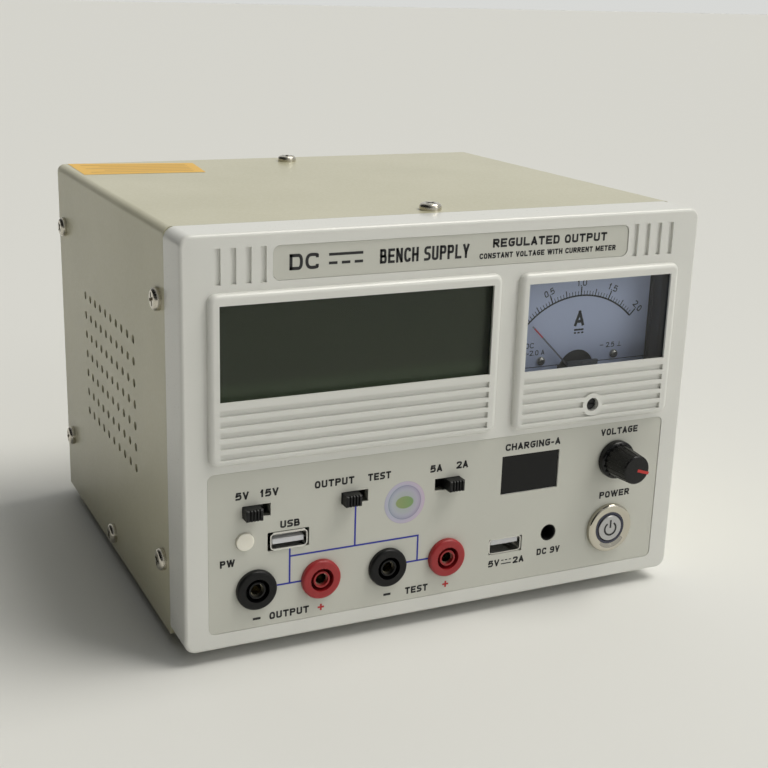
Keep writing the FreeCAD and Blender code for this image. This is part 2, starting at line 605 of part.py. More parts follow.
def make_switches():
    """Three slide-switch bodies in one node, and their three sliders."""
    bodies = []
    names = ["voltage_range_slider", "mode_slider", "current_range_slider"]
    for name, (x, z, side) in zip(names, SWITCHES):
        case = block((x - 8.5, x + 8.5), (3.05, 9.5), (z - 4, z + 4))
        case = case.cut(block((x - 6.3, x + 6.3), (3.6, 6.5), (z - 3.2, z + 3.2)))
        half_slot = SWITCH_SLOT[0] / 2
        case = case.cut(block((x - half_slot, x + half_slot), (3, 4), (z - 2.2, z + 2.2)))
        legs = []
        for leg_x in (-3.8, 0, 3.8):
            for leg_z in (-2, 2):
                legs.append(rod(x + leg_x, z + leg_z, (9.4, FRONT_BOARD_Y), 0.5))
        bodies.append(fuse([case] + legs))
        centre = x + (SLIDER_TRAVEL / 2 if side == "right" else -SLIDER_TRAVEL / 2)
        save(name, slider(centre, z))
    save("slide_switches", bodies)


def slider(x, z):
    """One ribbed slider: a finger grip in front and a retaining foot inside the switch."""
    half_x = SLIDER_SIZE[0] / 2
    half_z = SLIDER_SIZE[1] / 2
    stem = block((x - half_x, x + half_x), (-SLIDER_REACH, 4.5), (z - half_z, z + half_z))
    stem = stem.makeChamfer(0.35, front_edges(stem, -SLIDER_REACH))
    grooves = []
    for number in range(4):
        groove_x = x - half_x + 0.95 + 1.1 * number
        grooves.append(block((groove_x, groove_x + 0.6), (-5, -SLIDER_REACH + 0.7), (z - 3, z + 3)))
    foot = block((x - 4, x + 4), (3.9, 5.6), (z - 2.9, z + 2.9))
    return fuse([stem, foot]).cut(Part.makeCompound(grooves))


def make_front_boards():
    """The circuit boards behind the control panel."""
    y = (FRONT_BOARD_Y, FRONT_BOARD_Y + BOARD)
    control = block((-93, 11), y, (29, 57))
    relay = block((-30, -12), (y[1] - 0.1, 28), (34, 48))
    save("control_board", control.fuse(relay).removeSplitter())
    charge = block((13, 53), y, (11, 63))
    coil = rod(32, 34, (y[1] - 0.1, 22), 5)
    save("charge_board", charge.fuse(coil).removeSplitter())


def usb_socket(x, z, front, flare):
    """A type-A socket shell: a thin steel box, open in front, with turned-out lips if flared."""
    half_x = USB_SHELL[0] / 2
    half_z = USB_SHELL[1] / 2
    skin = 0.4
    outer = rounded_block((x - half_x, x + half_x), (front, FRONT_BOARD_Y), (z - half_z, z + half_z), 1.3)
    if flare:
        lip_x = (x - half_x + 1.0, x + half_x - 1.0)
        outer = outer.fuse(block(lip_x, (front, front + 0.4), (z - half_z - 0.3, z + half_z + 0.3)))
    inner_x = (x - half_x + skin, x + half_x - skin)
    inner_z = (z - half_z + skin, z + half_z - skin)
    inner = rounded_block(inner_x, (front - 1, FRONT_BOARD_Y - 0.5), inner_z, 0.9)
    return outer.cut(inner)


def make_usb_sockets():
    """The output and charging USB sockets, and the insulating tongues in them."""
    out_x, out_z = OUTPUT_USB
    in_x, in_z = CHARGE_USB
    save("usb_output_socket", usb_socket(out_x, out_z, -0.3, True))
    save("usb_charge_socket", usb_socket(in_x, in_z, 0.6, False))
    tongues = []
    for x, z, front, rise in [(out_x, out_z, 0.6, -1.2), (in_x, in_z, 1.4, 0.3)]:
        tongue_z = (z + rise, z + rise + 1.8)
        tongues.append(block((x - 5.6, x + 5.6), (front, FRONT_BOARD_Y - 0.5), tongue_z))
    save("usb_tongues", tongues)


def make_dc_jack():
    """The barrel jack: a moulded body with a centre pin in its bore."""
    x, z = JACK
    body = block((x - 4.5, x + 4.5), (3.05, FRONT_BOARD_Y), (z - 5.5, z + 5.5))
    nose = rod(x, z, (0.65, 3.2), JACK_RADIUS + 0.6)
    body = body.fuse(nose).cut(rod(x, z, (0, 12), 2.9))
    save("dc_jack", fuse([body, rod(x, z, (4.5, 12.5), 1.0)]))


def make_charging_display():
    """The small charging-current display behind the label."""
    x = (CHARGE_DISPLAY_X[0] + 0.15, CHARGE_DISPLAY_X[1] - 0.15)
    z = (CHARGE_DISPLAY_Z[0] + 0.15, CHARGE_DISPLAY_Z[1] - 0.15)
    save("charging_display", block(x, (0.7, FRONT_BOARD_Y), z))


def make_indicator_lens():
    """The round diffusing lens over the power indicator lamp."""
    x, z = LENS
    lens = rod(x, z, (-0.8, FRONT_BOARD_Y), LENS_RADIUS)
    save("indicator_lens", lens.makeFillet(0.3, front_edges(lens, -0.8)))


def make_banana_sockets():
    """Four insulated 4 mm sockets, their plated contacts and their nuts."""
    contacts = []
    nuts = []
    for name, x in SOCKETS.items():
        head = rod(x, SOCKET_Z, (-SOCKET_HEAD_HEIGHT, 0.2), SOCKET_HEAD_RADIUS)
        head = head.makeFillet(0.9, front_edges(head, -SOCKET_HEAD_HEIGHT))
        barrel = rod(x, SOCKET_Z, (0, 16), SOCKET_BARREL_RADIUS)
        body = fuse([head, barrel])
        recess = rod(x, SOCKET_Z, (-3, 4.5), 4.2).cut(rod(x, SOCKET_Z, (-3, 5), 2.95))
        body = body.cut(recess).cut(rod(x, SOCKET_Z, (-3, 17), CONTACT_RADIUS + RUNNING_GAP))
        save(name, body.cut(rod(x, SOCKET_Z, (-3, 0.5 - SOCKET_HEAD_HEIGHT), 3.2)))
        contact = rod(x, SOCKET_Z, (CONTACT_FRONT, 17), CONTACT_RADIUS)
        bore = rod(x, SOCKET_Z, (CONTACT_FRONT - 1, CONTACT_FRONT + CONTACT_DEPTH), CONTACT_BORE)
        contact = contact.cut(bore)
        stud = rod(x, SOCKET_Z, (16.5, 26), 1.9)
        contacts.append(contact.fuse(stud).removeSplitter())
        nut = hexagon(x, SOCKET_Z, (BEZEL_WALL, BEZEL_WALL + 3.5), 14)
        nuts.append(nut.cut(rod(x, SOCKET_Z, (2, 8), SOCKET_BARREL_RADIUS + RUNNING_GAP)))
    save("socket_contacts", contacts)
    save("socket_nuts", nuts)


def make_power_button():
    """The metal push button: body with a dished flange, blue light ring and sprung cap."""
    x, z = BUTTON
    flange = rod(x, z, (-1.8, 0.2), 9.5)
    flange = flange.makeFillet(0.9, front_edges(flange, -1.8))
    dish = cone(x, z, (-1.9, -1.1), (8.5, 6.3))
    barrel = rod(x, z, (0, 24), BUTTON_BARREL_RADIUS)
    body = fuse([flange, barrel, block((x - 5, x + 5), (23.5, 30), (z - 4, z + 4))])
    body = body.cut(dish).cut(rod(x, z, (-3, 3.5), 6.3)).cut(rod(x, z, (3, 15), 5.5))
    save("power_button_body", body)
    ring = rod(x, z, (-1.1, 3.5), 6.25).cut(rod(x, z, (-2, 4), 5.35))
    save("power_button_ring", ring)
    cap = rod(x, z, (-1.5, 9), 5.05)
    save("power_button_cap", cap.makeFillet(0.4, front_edges(cap, -1.5)))


def make_knob():
    """The potentiometer, its shaft, the ribbed knob and the knob's red pointer."""
    x, z = KNOB
    case = rod(x, z, (BEZEL_WALL + 0.1, 14), 8.5)
    bushing = rod(x, z, (-5.0, BEZEL_WALL + 0.5), 3.5)
    tabs = block((x - 5, x + 5), (9, 12), (z - 14, z))
    pot = fuse([case, bushing, tabs]).cut(rod(x, z, (-6, 12.5), SHAFT_RADIUS + RUNNING_GAP))
    save("potentiometer", pot)
    save("potentiometer_shaft", rod(x, z, (-11.5, 12), SHAFT_RADIUS))
    panel_nuts = [hexagon(x, z, (-2.0, OVERLAY_RECESS - LABEL_THICKNESS), 10).cut(rod(x, z, (-3, 1), 3.55))]
    button_nut = hexagon(BUTTON[0], BUTTON[1], (BEZEL_WALL, BEZEL_WALL + 3), 19)
    button_hole = rod(BUTTON[0], BUTTON[1], (2, 8), BUTTON_BARREL_RADIUS + RUNNING_GAP)
    panel_nuts.append(button_nut.cut(button_hole))
    save("panel_nuts", panel_nuts)

    skirt = rod(x, z, (-3.0, -0.2), 7.3)
    skirt = skirt.makeFillet(1.2, front_edges(skirt, -3.0))
    body = cone(x, z, (-KNOB_HEIGHT, -2.5), (5.4, 6.2))
    body = body.makeFillet(0.7, front_edges(body, -KNOB_HEIGHT))
    knob = fuse([skirt, body])
    flutes = []
    for number in range(18):
        angle = math.radians(20 * number + 10)
        across = FreeCAD.Vector(math.cos(angle), 0, math.sin(angle))
        start = FreeCAD.Vector(x, -KNOB_HEIGHT - 0.5, z) + across * 5.62
        end = FreeCAD.Vector(x, -2.8, z) + across * 6.43
        flutes.append(Part.makeCylinder(0.45, (end - start).Length, start, end - start))
    knob = knob.cut(Part.makeCompound(flutes))
    knob = knob.cut(rod(x, z, (-5.5, 1), 5.2)).cut(rod(x, z, (-2.4, 1), 6.3))
    knob = knob.cut(rod(x, z, (-11.6, 0), SHAFT_RADIUS))
    line = block((x + 0.3, x + 8), (-KNOB_HEIGHT - 0.05, -3.8), (z - 0.55, z + 0.55))
    line.rotate(FreeCAD.Vector(x, 0, z), FreeCAD.Vector(0, 1, 0), 18)
    envelope = cone(x, z, (-KNOB_HEIGHT - 0.1, -2.5), (5.5, 6.3))
    envelope = envelope.cut(cone(x, z, (0.8 - KNOB_HEIGHT, -2.4), (4.9, 5.7)))
    pointer = line.common(envelope)
    save("voltage_knob", knob.cut(pointer))
    save("knob_pointer", pointer)


# ---- Inside the case ----

def make_transformer():
    """The mains transformer: a laminated core with feet, and the winding on its middle limb."""
    x0, x1 = TRANSFORMER_X
    z0, z1 = TRANSFORMER_Z
    centre = (x0 + x1) / 2
    core = block(TRANSFORMER_X, TRANSFORMER_Y, TRANSFORMER_Z)
    windows = []
    for side in (-1, 1):
        window_x = sorted((centre + side * 11, centre + side * 22))
        windows.append(block(window_x, (80, 120), (z0 + 11, z1 - 11)))
    feet = block((x0 - 9, x1 + 9), (TRANSFORMER_Y[0], TRANSFORMER_Y[1]), (z0, z0 + 1.5))
    core = core.cut(Part.makeCompound(windows)).fuse(feet)
    for x, y in TRANSFORMER_FEET:
        core = core.cut(rod_z(x, y, (0, 4), SCREW_HOLE))
    save("transformer_core", core.removeSplitter())
    outer = rounded_block((centre - 21.5, centre + 21.5), (70, 130), (z0 + 11.4, z1 - 11.4), 2)
    limb = block((centre - 11.1, centre + 11.1), (83.8, 116.2), (0, 60))
    save("transformer_winding", outer.cut(limb))


def make_main_board():
    """The regulator board with its filter capacitors, and the finned heatsink behind it."""
    board = block((4, 84), (42, 110), (8, 8 + BOARD))
    bridge = block((60, 78), (86, 92), (9, 26))
    terminals = block((14, 50), (46, 56), (9, 19))
    holes = [rod_z(x, y, (7, 10), SCREW_HOLE) for x, y in STANDOFFS]
    save("main_board", fuse([board, bridge, terminals]).cut(Part.makeCompound(holes)))
    capacitors = []
    for x in (24, 46):
        can = rod_z(x, 76, (8 + BOARD, 42), 9)
        rim = [e for e in can.Edges if e.BoundBox.ZMin > 41.9]
        capacitors.append(can.makeFillet(1.2, rim))
    save("filter_capacitors", capacitors)
    plate = block((12, 84), (118, 122), (1.3, 66))
    fins = [block((12 + 7.2 * n, 14 + 7.2 * n), (121.9, 146), (1.3, 66)) for n in range(11)]
    save("heatsink", fuse([plate] + fins[:10]))
    transistors = []
    for x in (18, 36, 54, 72):
        transistors.append(block((x - 1, x + 11), (113, 118), (34, 54)))
    save("power_transistors", transistors)


def make_fan():
    """The cooling fan: square frame with a hub and four struts, and a seven-blade rotor."""
    x, z = FAN_CENTRE
    half = FAN_SIZE / 2
    y1 = REAR_SHEET_Y[0]
    y0 = y1 - FAN_DEPTH
    frame = rounded_block((x - half, x + half), (y0, y1), (z - half, z + half), 3)
    frame = frame.cut(rod(x, z, (y0 - 1, y1 + 1), 28.5))
    struts = []
    for turn in (0, 90):
        strut = block((-29, 29), (y1 - 3, y1), (-1.5, 1.5))
        strut.rotate(FreeCAD.Vector(0, 0, 0), FreeCAD.Vector(0, 1, 0), turn)
        strut.translate(FreeCAD.Vector(x, 0, z))
        struts.append(strut)
    frame = fuse([frame, rod(x, z, (y1 - 3, y1), 13)] + struts)
    holes = [rod(x, z, (y1 - 4, y1 - 0.8), 1.5 + RUNNING_GAP)]
    for hole_x in (-FAN_PITCH, FAN_PITCH):
        for hole_z in (-FAN_PITCH, FAN_PITCH):
            holes.append(rod(x + hole_x, z + hole_z, (y0 - 1, y1 + 1), SCREW_HOLE))
    save("fan_frame", frame.cut(Part.makeCompound(holes)))

    hub = rod(x, z, (y0 + 1, y1 - 3.5), 12)
    hub = hub.makeFillet(1.2, front_edges(hub, y0 + 1))
    shaft = rod(x, z, (y1 - 4, y1 - 1), 1.5)
    blades = []
    for number in range(7):
        blade = block((11, 27.3), (-0.8, 0.8), (-6.2, 6.2))
        blade.rotate(FreeCAD.Vector(0, 0, 0), FreeCAD.Vector(1, 0, 0), 42)
        blade.rotate(FreeCAD.Vector(0, 0, 0), FreeCAD.Vector(0, 1, 0), 360 / 7 * number)
        blade.translate(FreeCAD.Vector(x, y0 + 8.7, z))
        blades.append(blade)
    rotor = fuse([hub, shaft] + blades)
    save("fan_rotor", rotor.common(rod(x, z, (y0 - 2, y1), 27.4)))


# ---- Rear connections ----

def make_mains_inlet():
    """The three-pin appliance inlet, screwed to the rear panel, and its pins."""
    x, z = INLET
    flange = rounded_block((x - 25, x + 25), (CASE_DEPTH, CASE_DEPTH + 2.5), (z - 12, z + 12), 5)
    box = block((x - 13.5, x + 13.5), (154, CASE_DEPTH + 0.5), (z - 9.8, z + 9.8))
    points = [(-12, -8), (12, -8), (12, 3.5), (7.5, 8), (-7.5, 8), (-12, 3.5), (-12, -8)]
    outline = Part.makePolygon([FreeCAD.Vector(x + px, 159, z + pz) for px, pz in points])
    cavity = Part.Face(outline).extrude(FreeCAD.Vector(0, 20, 0))
    inlet = fuse([flange, box]).cut(cavity)
    pins = []
    for pin_x, pin_z in ((-7, -2), (7, -2), (0, 2)):
        inlet = inlet.cut(block((x + pin_x - 1, x + pin_x + 1), (150, 160), (z + pin_z - 2, z + pin_z + 2)))
        pins.append(block((x + pin_x - 1, x + pin_x + 1), (146, 171), (z + pin_z - 2, z + pin_z + 2)))
    for hole in (-20, 20):
        inlet = inlet.cut(rod(x + hole, z, (170, 180), SCREW_HOLE))
    save("mains_inlet", inlet)
    save("inlet_pins", pins)


def make_fuse_holder():
    """The panel fuse holder, its bayonet cap and the glass fuse that the cap carries."""
    x, z = FUSE
    rear = CASE_DEPTH
    flange = rod(x, z, (rear, rear + 1.6), 7.8)
    tube = rod(x, z, (146, rear + 0.5), 6)
    nut = hexagon(x, z, (165, REAR_SHEET_Y[0]), 15)
    holder = fuse([flange, tube, nut]).cut(rod(x, z, (148, rear + 3), 4.4))
    save("fuse_holder", holder)
    head = rod(x, z, (rear + 1.9, rear + REAR_REACH), 6.2)
    rim = front_edges(head, rear + REAR_REACH)
    head = head.makeFillet(0.8, rim)
    slot = block((x - 4, x + 4), (rear + REAR_REACH - 1.2, rear + 10), (z - 0.6, z + 0.6))
    stem = rod(x, z, (rear - 5, rear + 2.5), 4.0)
    cap = fuse([head.cut(slot), stem]).cut(rod(x, z, (rear - 6, rear - 0.5), 2.55))
    save("fuse_cap", cap)
    save("fuse", rod(x, z, (rear - 20.5, rear - 0.5), 2.55))


def main():
    os.makedirs("parts", exist_ok=True)
    make_front_bezel()
    make_labels()
    make_case_cover()
    make_chassis_tray()
    make_rear_panel()
    make_feet()
    make_cover_screws()
    make_chassis_screws()
    make_display()
    make_meter_housing()
    make_meter_dial()
    make_meter_movement()
    make_meter_pointer()
    make_meter_zero_screw()
    make_switches()
    make_front_boards()
    make_usb_sockets()
    make_dc_jack()
    make_charging_display()
    make_indicator_lens()
    make_banana_sockets()
    make_power_button()
    make_knob()
    make_transformer()
    make_main_board()
    make_fan()
    make_mains_inlet()
    make_fuse_holder()


main()
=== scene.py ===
import json
import math
import bpy
import numpy as np
from mathutils import Matrix, Vector


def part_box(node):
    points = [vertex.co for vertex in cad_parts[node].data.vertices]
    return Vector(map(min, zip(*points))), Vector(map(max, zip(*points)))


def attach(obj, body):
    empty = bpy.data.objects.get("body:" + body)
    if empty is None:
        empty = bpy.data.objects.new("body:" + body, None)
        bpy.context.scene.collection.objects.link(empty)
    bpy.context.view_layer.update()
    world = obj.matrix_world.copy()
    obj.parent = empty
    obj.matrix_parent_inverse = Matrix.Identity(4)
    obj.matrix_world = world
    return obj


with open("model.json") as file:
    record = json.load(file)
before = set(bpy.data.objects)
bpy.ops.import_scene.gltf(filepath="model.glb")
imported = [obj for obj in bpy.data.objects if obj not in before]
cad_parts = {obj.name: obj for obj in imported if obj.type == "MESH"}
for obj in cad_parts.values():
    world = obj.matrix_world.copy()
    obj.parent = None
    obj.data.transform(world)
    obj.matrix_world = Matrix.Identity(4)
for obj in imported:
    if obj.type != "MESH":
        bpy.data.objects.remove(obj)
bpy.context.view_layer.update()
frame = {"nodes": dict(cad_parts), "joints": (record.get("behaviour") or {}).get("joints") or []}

# ---- Camera -------------------------------------------------------------------------------------
# A hand-held phone camera, close to the left front corner and a little above the case. It stands
# so near that the case's far edges shrink plainly, and it is rolled by about a degree and a half.

camera_place = Vector((-0.20933, -0.45547, 0.21733))
camera_azimuth = math.radians(24.80)
camera_elevation = math.radians(-16.914)
camera_roll = math.radians(1.44)

camera_data = bpy.data.cameras.new("camera")
camera_data.sensor_width = 36.0
camera_data.lens = 60.85
camera_data.shift_x = 0.0332
camera_data.shift_y = 0.0044
camera_data.clip_start = 0.01
camera = bpy.data.objects.new("camera", camera_data)
bpy.context.scene.collection.objects.link(camera)
ahead = Matrix.Rotation(-camera_azimuth, 4, "Z") @ Matrix.Rotation(math.pi / 2 + camera_elevation, 4, "X")
camera.matrix_world = Matrix.Translation(camera_place) @ ahead @ Matrix.Rotation(camera_roll, 4, "Z")
bpy.context.scene.camera = camera
bpy.context.scene.view_settings.view_transform = "Standard"


# ---- Studio -------------------------------------------------------------------------------------
# A plain pale floor and soft light. A broad key comes from above and the right, and a weak soft box
# stands in front to the right. The pale room darkens towards the left, which leaves the case's left
# side in shade, and grows brighter behind.

def srgb(code):
    """Turns an sRGB hex colour into a linear one with full alpha, by the standard transfer curve."""
    channels = [int(code[place:place + 2], 16) / 255 for place in (1, 3, 5)]
    curve = [c / 12.92 if c <= 0.04045 else ((c + 0.055) / 1.055) ** 2.4 for c in channels]
    return (*curve, 1.0)


def add_node(tree, kind, settings=None):
    """Adds one shader node. Each setting names an input or a property of the node. An output
    socket given as the value is linked to that input, and any other value is stored on it."""
    node = tree.nodes.new("ShaderNode" + kind)
    for name, value in (settings or {}).items():
        if isinstance(name, str) and name not in node.inputs:
            setattr(node, name, value)
        elif isinstance(value, bpy.types.NodeSocket):
            tree.links.new(value, node.inputs[name])
        else:
            node.inputs[name].default_value = value
    return node


def new_material(name):
    """Makes an empty node material and returns it with its tree and its output node."""
    material = bpy.data.materials.new(name)
    material.use_nodes = True
    material.node_tree.nodes.clear()
    return material, material.node_tree, add_node(material.node_tree, "OutputMaterial")


def mix_colours(tree, share, first, second):
    """Adds a mix of two colours, each given as a colour or a socket, and returns its output."""
    mixed = add_node(tree, "Mix", {"data_type": "RGBA", 0: share, 6: first, 7: second})
    return mixed.outputs[2]


def soft_box(name, place, aim, width, height, power, colour):
    """Adds a rectangular area light that faces a point."""
    data = bpy.data.lights.new(name, "AREA")
    data.shape = "RECTANGLE"
    data.size = width
    data.size_y = height
    data.energy = power
    data.color = srgb(colour)[:3]
    lamp = bpy.data.objects.new(name, data)
    bpy.context.scene.collection.objects.link(lamp)
    turn = (Vector(aim) - Vector(place)).to_track_quat("-Z", "Y")
    lamp.matrix_world = Matrix.Translation(place) @ turn.to_matrix().to_4x4()


def far_key(name, towards, strength, spread, colour):
    """Adds a distant, evenly spread key light that comes from a direction."""
    data = bpy.data.lights.new(name, "SUN")
    data.energy = strength
    data.angle = math.radians(spread)
    data.color = srgb(colour)[:3]
    lamp = bpy.data.objects.new(name, data)
    bpy.context.scene.collection.objects.link(lamp)
    lamp.rotation_euler = Vector(towards).to_track_quat("Z", "Y").to_euler()


far_key("ceiling_key", (0.45, -0.16, 0.88), 2.0, 34, "#FFFCF4")
soft_box("front_box", (0.75, -0.95, 0.55), (0.02, -0.05, 0.05), 0.5, 0.6, 1.6, "#FFFEFA")

room = bpy.data.worlds.new("pale_room")
bpy.context.scene.world = room
room.use_nodes = True
room.node_tree.nodes.clear()
towards = add_node(room.node_tree, "TexCoord").outputs["Generated"]
direction = add_node(room.node_tree, "SeparateXYZ", {"Vector": towards})
side = add_node(room.node_tree, "MapRange", {
    "Value": direction.outputs["X"], "From Min": -0.50, "From Max": 0.05, "To Min": 0.02, "To Max": 0.56})
behind = add_node(room.node_tree, "MapRange", {
    "Value": direction.outputs["Y"], "From Min": 0.2, "From Max": 0.75, "To Min": 1.0, "To Max": 1.4})
strength = add_node(room.node_tree, "Math", {
    "operation": "MULTIPLY", 0: side.outputs["Result"], 1: behind.outputs["Result"]})
glow = add_node(room.node_tree, "Background", {
    "Color": srgb("#F0F1EE"), "Strength": strength.outputs["Value"]})
add_node(room.node_tree, "OutputWorld", {"Surface": glow.outputs["Background"]})


def new_piece(name, points, faces, material):
    """Makes a mesh object from points and faces in metres, with one material."""
    mesh = bpy.data.meshes.new(name)
    mesh.from_pydata(points, [], faces)
    mesh.materials.append(material)
    piece = bpy.data.objects.new(name, mesh)
    bpy.context.scene.collection.objects.link(piece)
    return piece


floor_reach = 20.0
material, tree, output = new_material("pale_matte_paper")
paper = add_node(tree, "BsdfPrincipled", {"Base Color": srgb("#DEDEDB"), "Roughness": 0.9})
tree.links.new(paper.outputs["BSDF"], output.inputs["Surface"])
floor_corners = [(x * floor_reach, y * floor_reach, 0) for x, y in ((-1, -1), (1, -1), (1, 1), (-1, 1))]
floor = new_piece("floor", floor_corners, [(0, 1, 2, 3)], material)


# ---- Case cover ---------------------------------------------------------------------------------
# One folded sheet of 1 mm steel, top and two sides, with a field of punched vents in each side. It
# is powder coated in satin beige: a hard smooth skin with the slight ripple that baked powder has.

def smooth_steps(name, angle=32):
    """Joins a CAD node's loose triangles for shading, and keeps creases sharper than an angle."""
    node = frame["nodes"][name]
    node.data.polygons.foreach_set("use_smooth", np.ones(len(node.data.polygons), bool))
    weld = node.modifiers.new("weld", "WELD")
    weld.merge_threshold = 0.000002
    split = node.modifiers.new("creases", "EDGE_SPLIT")
    split.split_angle = math.radians(angle)


def dress(material, *names):
    """Gives CAD nodes a material and smooth shading."""
    for name in names:
        mesh = frame["nodes"][name].data
        mesh.materials.clear()
        mesh.materials.append(material)
        smooth_steps(name)


def powder_coat(name, colour, shade, ripple_mm=0.02):
    """Baked powder coat: a satin base under a clear skin, with a speckle about 1 mm across that
    sets its bumps and gloss, and a slow drift of tone over a few centimetres."""
    material, tree, output = new_material(name)
    place = add_node(tree, "TexCoord").outputs["Object"]
    drift = add_node(tree, "TexNoise", {"Vector": place, "Scale": 1 / 0.045, "Detail": 2.0})
    speckle = add_node(tree, "TexNoise", {"Vector": place, "Scale": 1 / 0.0011, "Detail": 2.0})
    tone = add_node(tree, "MapRange", {
        "Value": drift.outputs["Fac"], "From Min": 0.35, "From Max": 0.65})
    colours = mix_colours(tree, tone.outputs["Result"], srgb(colour), srgb(shade))
    gloss = add_node(tree, "MapRange", {
        "Value": speckle.outputs["Fac"], "From Min": 0.3, "From Max": 0.7, "To Min": 0.30, "To Max": 0.40})
    bump = add_node(tree, "Bump", {
        "Height": speckle.outputs["Fac"], "Strength": 0.12, "Distance": ripple_mm / 1000})
    skin = add_node(tree, "BsdfPrincipled", {
        "Base Color": colours, "Roughness": gloss.outputs["Result"],
        "Normal": bump.outputs["Normal"], "Coat Weight": 0.12, "Coat Roughness": 0.12, "IOR": 1.4})
    tree.links.new(skin.outputs["BSDF"], output.inputs["Surface"])
    return material


beige_powder = powder_coat("satin_beige_powder_coat", "#C4C0A6", "#BEBA9F")
dress(beige_powder, "case_cover")


# ---- Screws -------------------------------------------------------------------------------------
# Pan-head cross-recess screws of nickel-plated steel, with the nuts behind the panel. The plating
# is bright but slightly hazy, so it mirrors the room softly.

def plated_metal(name, colour, roughness, haze_mm=0.25):
    """Bright plating: full metal with a fine haze that varies its roughness."""
    material, tree, output = new_material(name)
    place = add_node(tree, "TexCoord").outputs["Object"]
    haze = add_node(tree, "TexNoise", {"Vector": place, "Scale": 1000 / haze_mm, "Detail": 3.0})
    gloss = add_node(tree, "MapRange", {
        "Value": haze.outputs["Fac"], "From Min": 0.3, "From Max": 0.7,
        "To Min": roughness * 0.7, "To Max": roughness * 1.4})
    bump = add_node(tree, "Bump", {"Height": haze.outputs["Fac"], "Strength": 0.1, "Distance": 0.00001})
    metal = add_node(tree, "BsdfPrincipled", {
        "Base Color": srgb(colour), "Metallic": 1.0, "Roughness": gloss.outputs["Result"],
        "Normal": bump.outputs["Normal"]})
    tree.links.new(metal.outputs["BSDF"], output.inputs["Surface"])
    return material


nickel = plated_metal("bright_nickel_plate", "#C9C4B8", 0.22)
dress(nickel, "cover_screws", "chassis_screws", "panel_nuts", "socket_nuts")


# ---- Tray, rear panel and feet ------------------------------------------------------------------
# The tray and the rear panel are bent from the same steel and coated with the same powder. The feet
# are black rubber mouldings, dull and finely pitted, held by a screw each.

dress(beige_powder, "chassis_tray", "rear_panel")


def moulded_plastic(name, colour, roughness, grain_mm=0.4, grain_height_mm=0.01, coat=0.0,
                    fleck=0.05, ior=1.5):
    """Moulded plastic or rubber: an even colour with a faint fleck, and a mould grain that sets
    both the small bumps and the spread of roughness."""
    material, tree, output = new_material(name)
    place = add_node(tree, "TexCoord").outputs["Object"]
    grain = add_node(tree, "TexNoise", {"Vector": place, "Scale": 1000 / grain_mm, "Detail": 3.0})
    cloud = add_node(tree, "TexNoise", {"Vector": place, "Scale": 1 / 0.03, "Detail": 1.0})
    base = srgb(colour)
    darker = (*[channel * (1 - fleck) for channel in base[:3]], 1.0)
    colours = mix_colours(tree, cloud.outputs["Fac"], base, darker)
    gloss = add_node(tree, "MapRange", {
        "Value": grain.outputs["Fac"], "From Min": 0.3, "From Max": 0.7,
        "To Min": roughness * 0.85, "To Max": roughness * 1.2})
    bump = add_node(tree, "Bump", {
        "Height": grain.outputs["Fac"], "Strength": 0.2, "Distance": grain_height_mm / 1000})
    body = add_node(tree, "BsdfPrincipled", {
        "Base Color": colours, "Roughness": gloss.outputs["Result"],
        "Normal": bump.outputs["Normal"], "Coat Weight": coat, "Coat Roughness": 0.08, "IOR": ior})
    tree.links.new(body.outputs["BSDF"], output.inputs["Surface"])
    return material


foot_rubber = moulded_plastic("pitted_black_rubber", "#1B1B1B", 0.8, 0.5, 0.03)
dress(foot_rubber, "feet")


# ---- Front bezel --------------------------------------------------------------------------------
# The front is one injection moulding of off-white ABS, with raised window frames and grooves. It
# comes from a polished mould, so it is glossy with a faint flow of tone.

white_abs = moulded_plastic("glossy_white_abs", "#DFDFDA", 0.32, 0.6, 0.003, coat=0.25, fleck=0.02)
dress(white_abs, "front_bezel")


# ---- Grey labels --------------------------------------------------------------------------------
# Two labels of grey polycarbonate film, glued into shallow recesses of the bezel. The film's face
# is finely textured and dull, so it shines less than the bezel round it.

grey_film = moulded_plastic("textured_grey_polycarbonate", "#CACAC1", 0.42, 0.25, 0.006, fleck=0.02)
dress(grey_film, "control_overlay", "name_plate")


# ---- Printing on the labels ---------------------------------------------------------------------
# Plain function names and figures in bold black, with red plus signs and blue lines that join each
# socket pair to its switch. The ink is screen printed and stands 0.04 mm above the film.

bezel_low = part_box("front_bezel")[0]
overlay_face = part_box("control_overlay")[0].y
plate_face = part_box("name_plate")[0].y
ink_lift = 0.00004
MM = 0.001

# Each letter is a set of strokes, split by |. A stroke is a run of grid places, each two figures:
# eighths of the width from the left, then eighths of the height from the foot.
strokes = {
    "A": "00 48|80 48|12 72", "B": "00 08|~08 48 78 74 44 04|~04 54 84 80 50 00",
    "C": "~87 88 08 00 80 81", "D": "00 08|~08 38 88 80 30 00", "E": "88 08 00 80|04 74",
    "G": "~88 08 00 80 84|84 54",
    "H": "00 08|80 88|04 84", "I": "00 08", "L": "08 00 80", "M": "00 08|80 88|08 41|88 41",
    "N": "00 08|08 80|80 88", "O": "~40 00 08 88 80 40", "P": "00 08|~08 48 88 84 44 04",
    "R": "00 08|~08 48 88 84 44 04|34 80", "S": "~88 08 04 84 80 00", "T": "08 88|40 48",
    "U": "~08 03 00 80 83 88", "V": "08 40|88 40", "W": "08 20|48 20|48 60|88 60",
    "Y": "08 43|88 43|43 40", "0": "~40 00 08 88 80 40", "1": "26 58|58 50", "2": "~07 08 88 85 00|00 80",
    "5": "78 18 04|~04 45 85 80 00", "9": "~86 84 04 08 88 86|~86 80 00", "-": "13 73", ".": "00 00",
    " ": ""}
letter_widths = {"I": 0.22, "1": 0.5, ".": 0.22, "-": 0.45, " ": 0.32, "M": 0.88, "W": 1.05}
usual_width = 0.7
letter_gap = 0.13


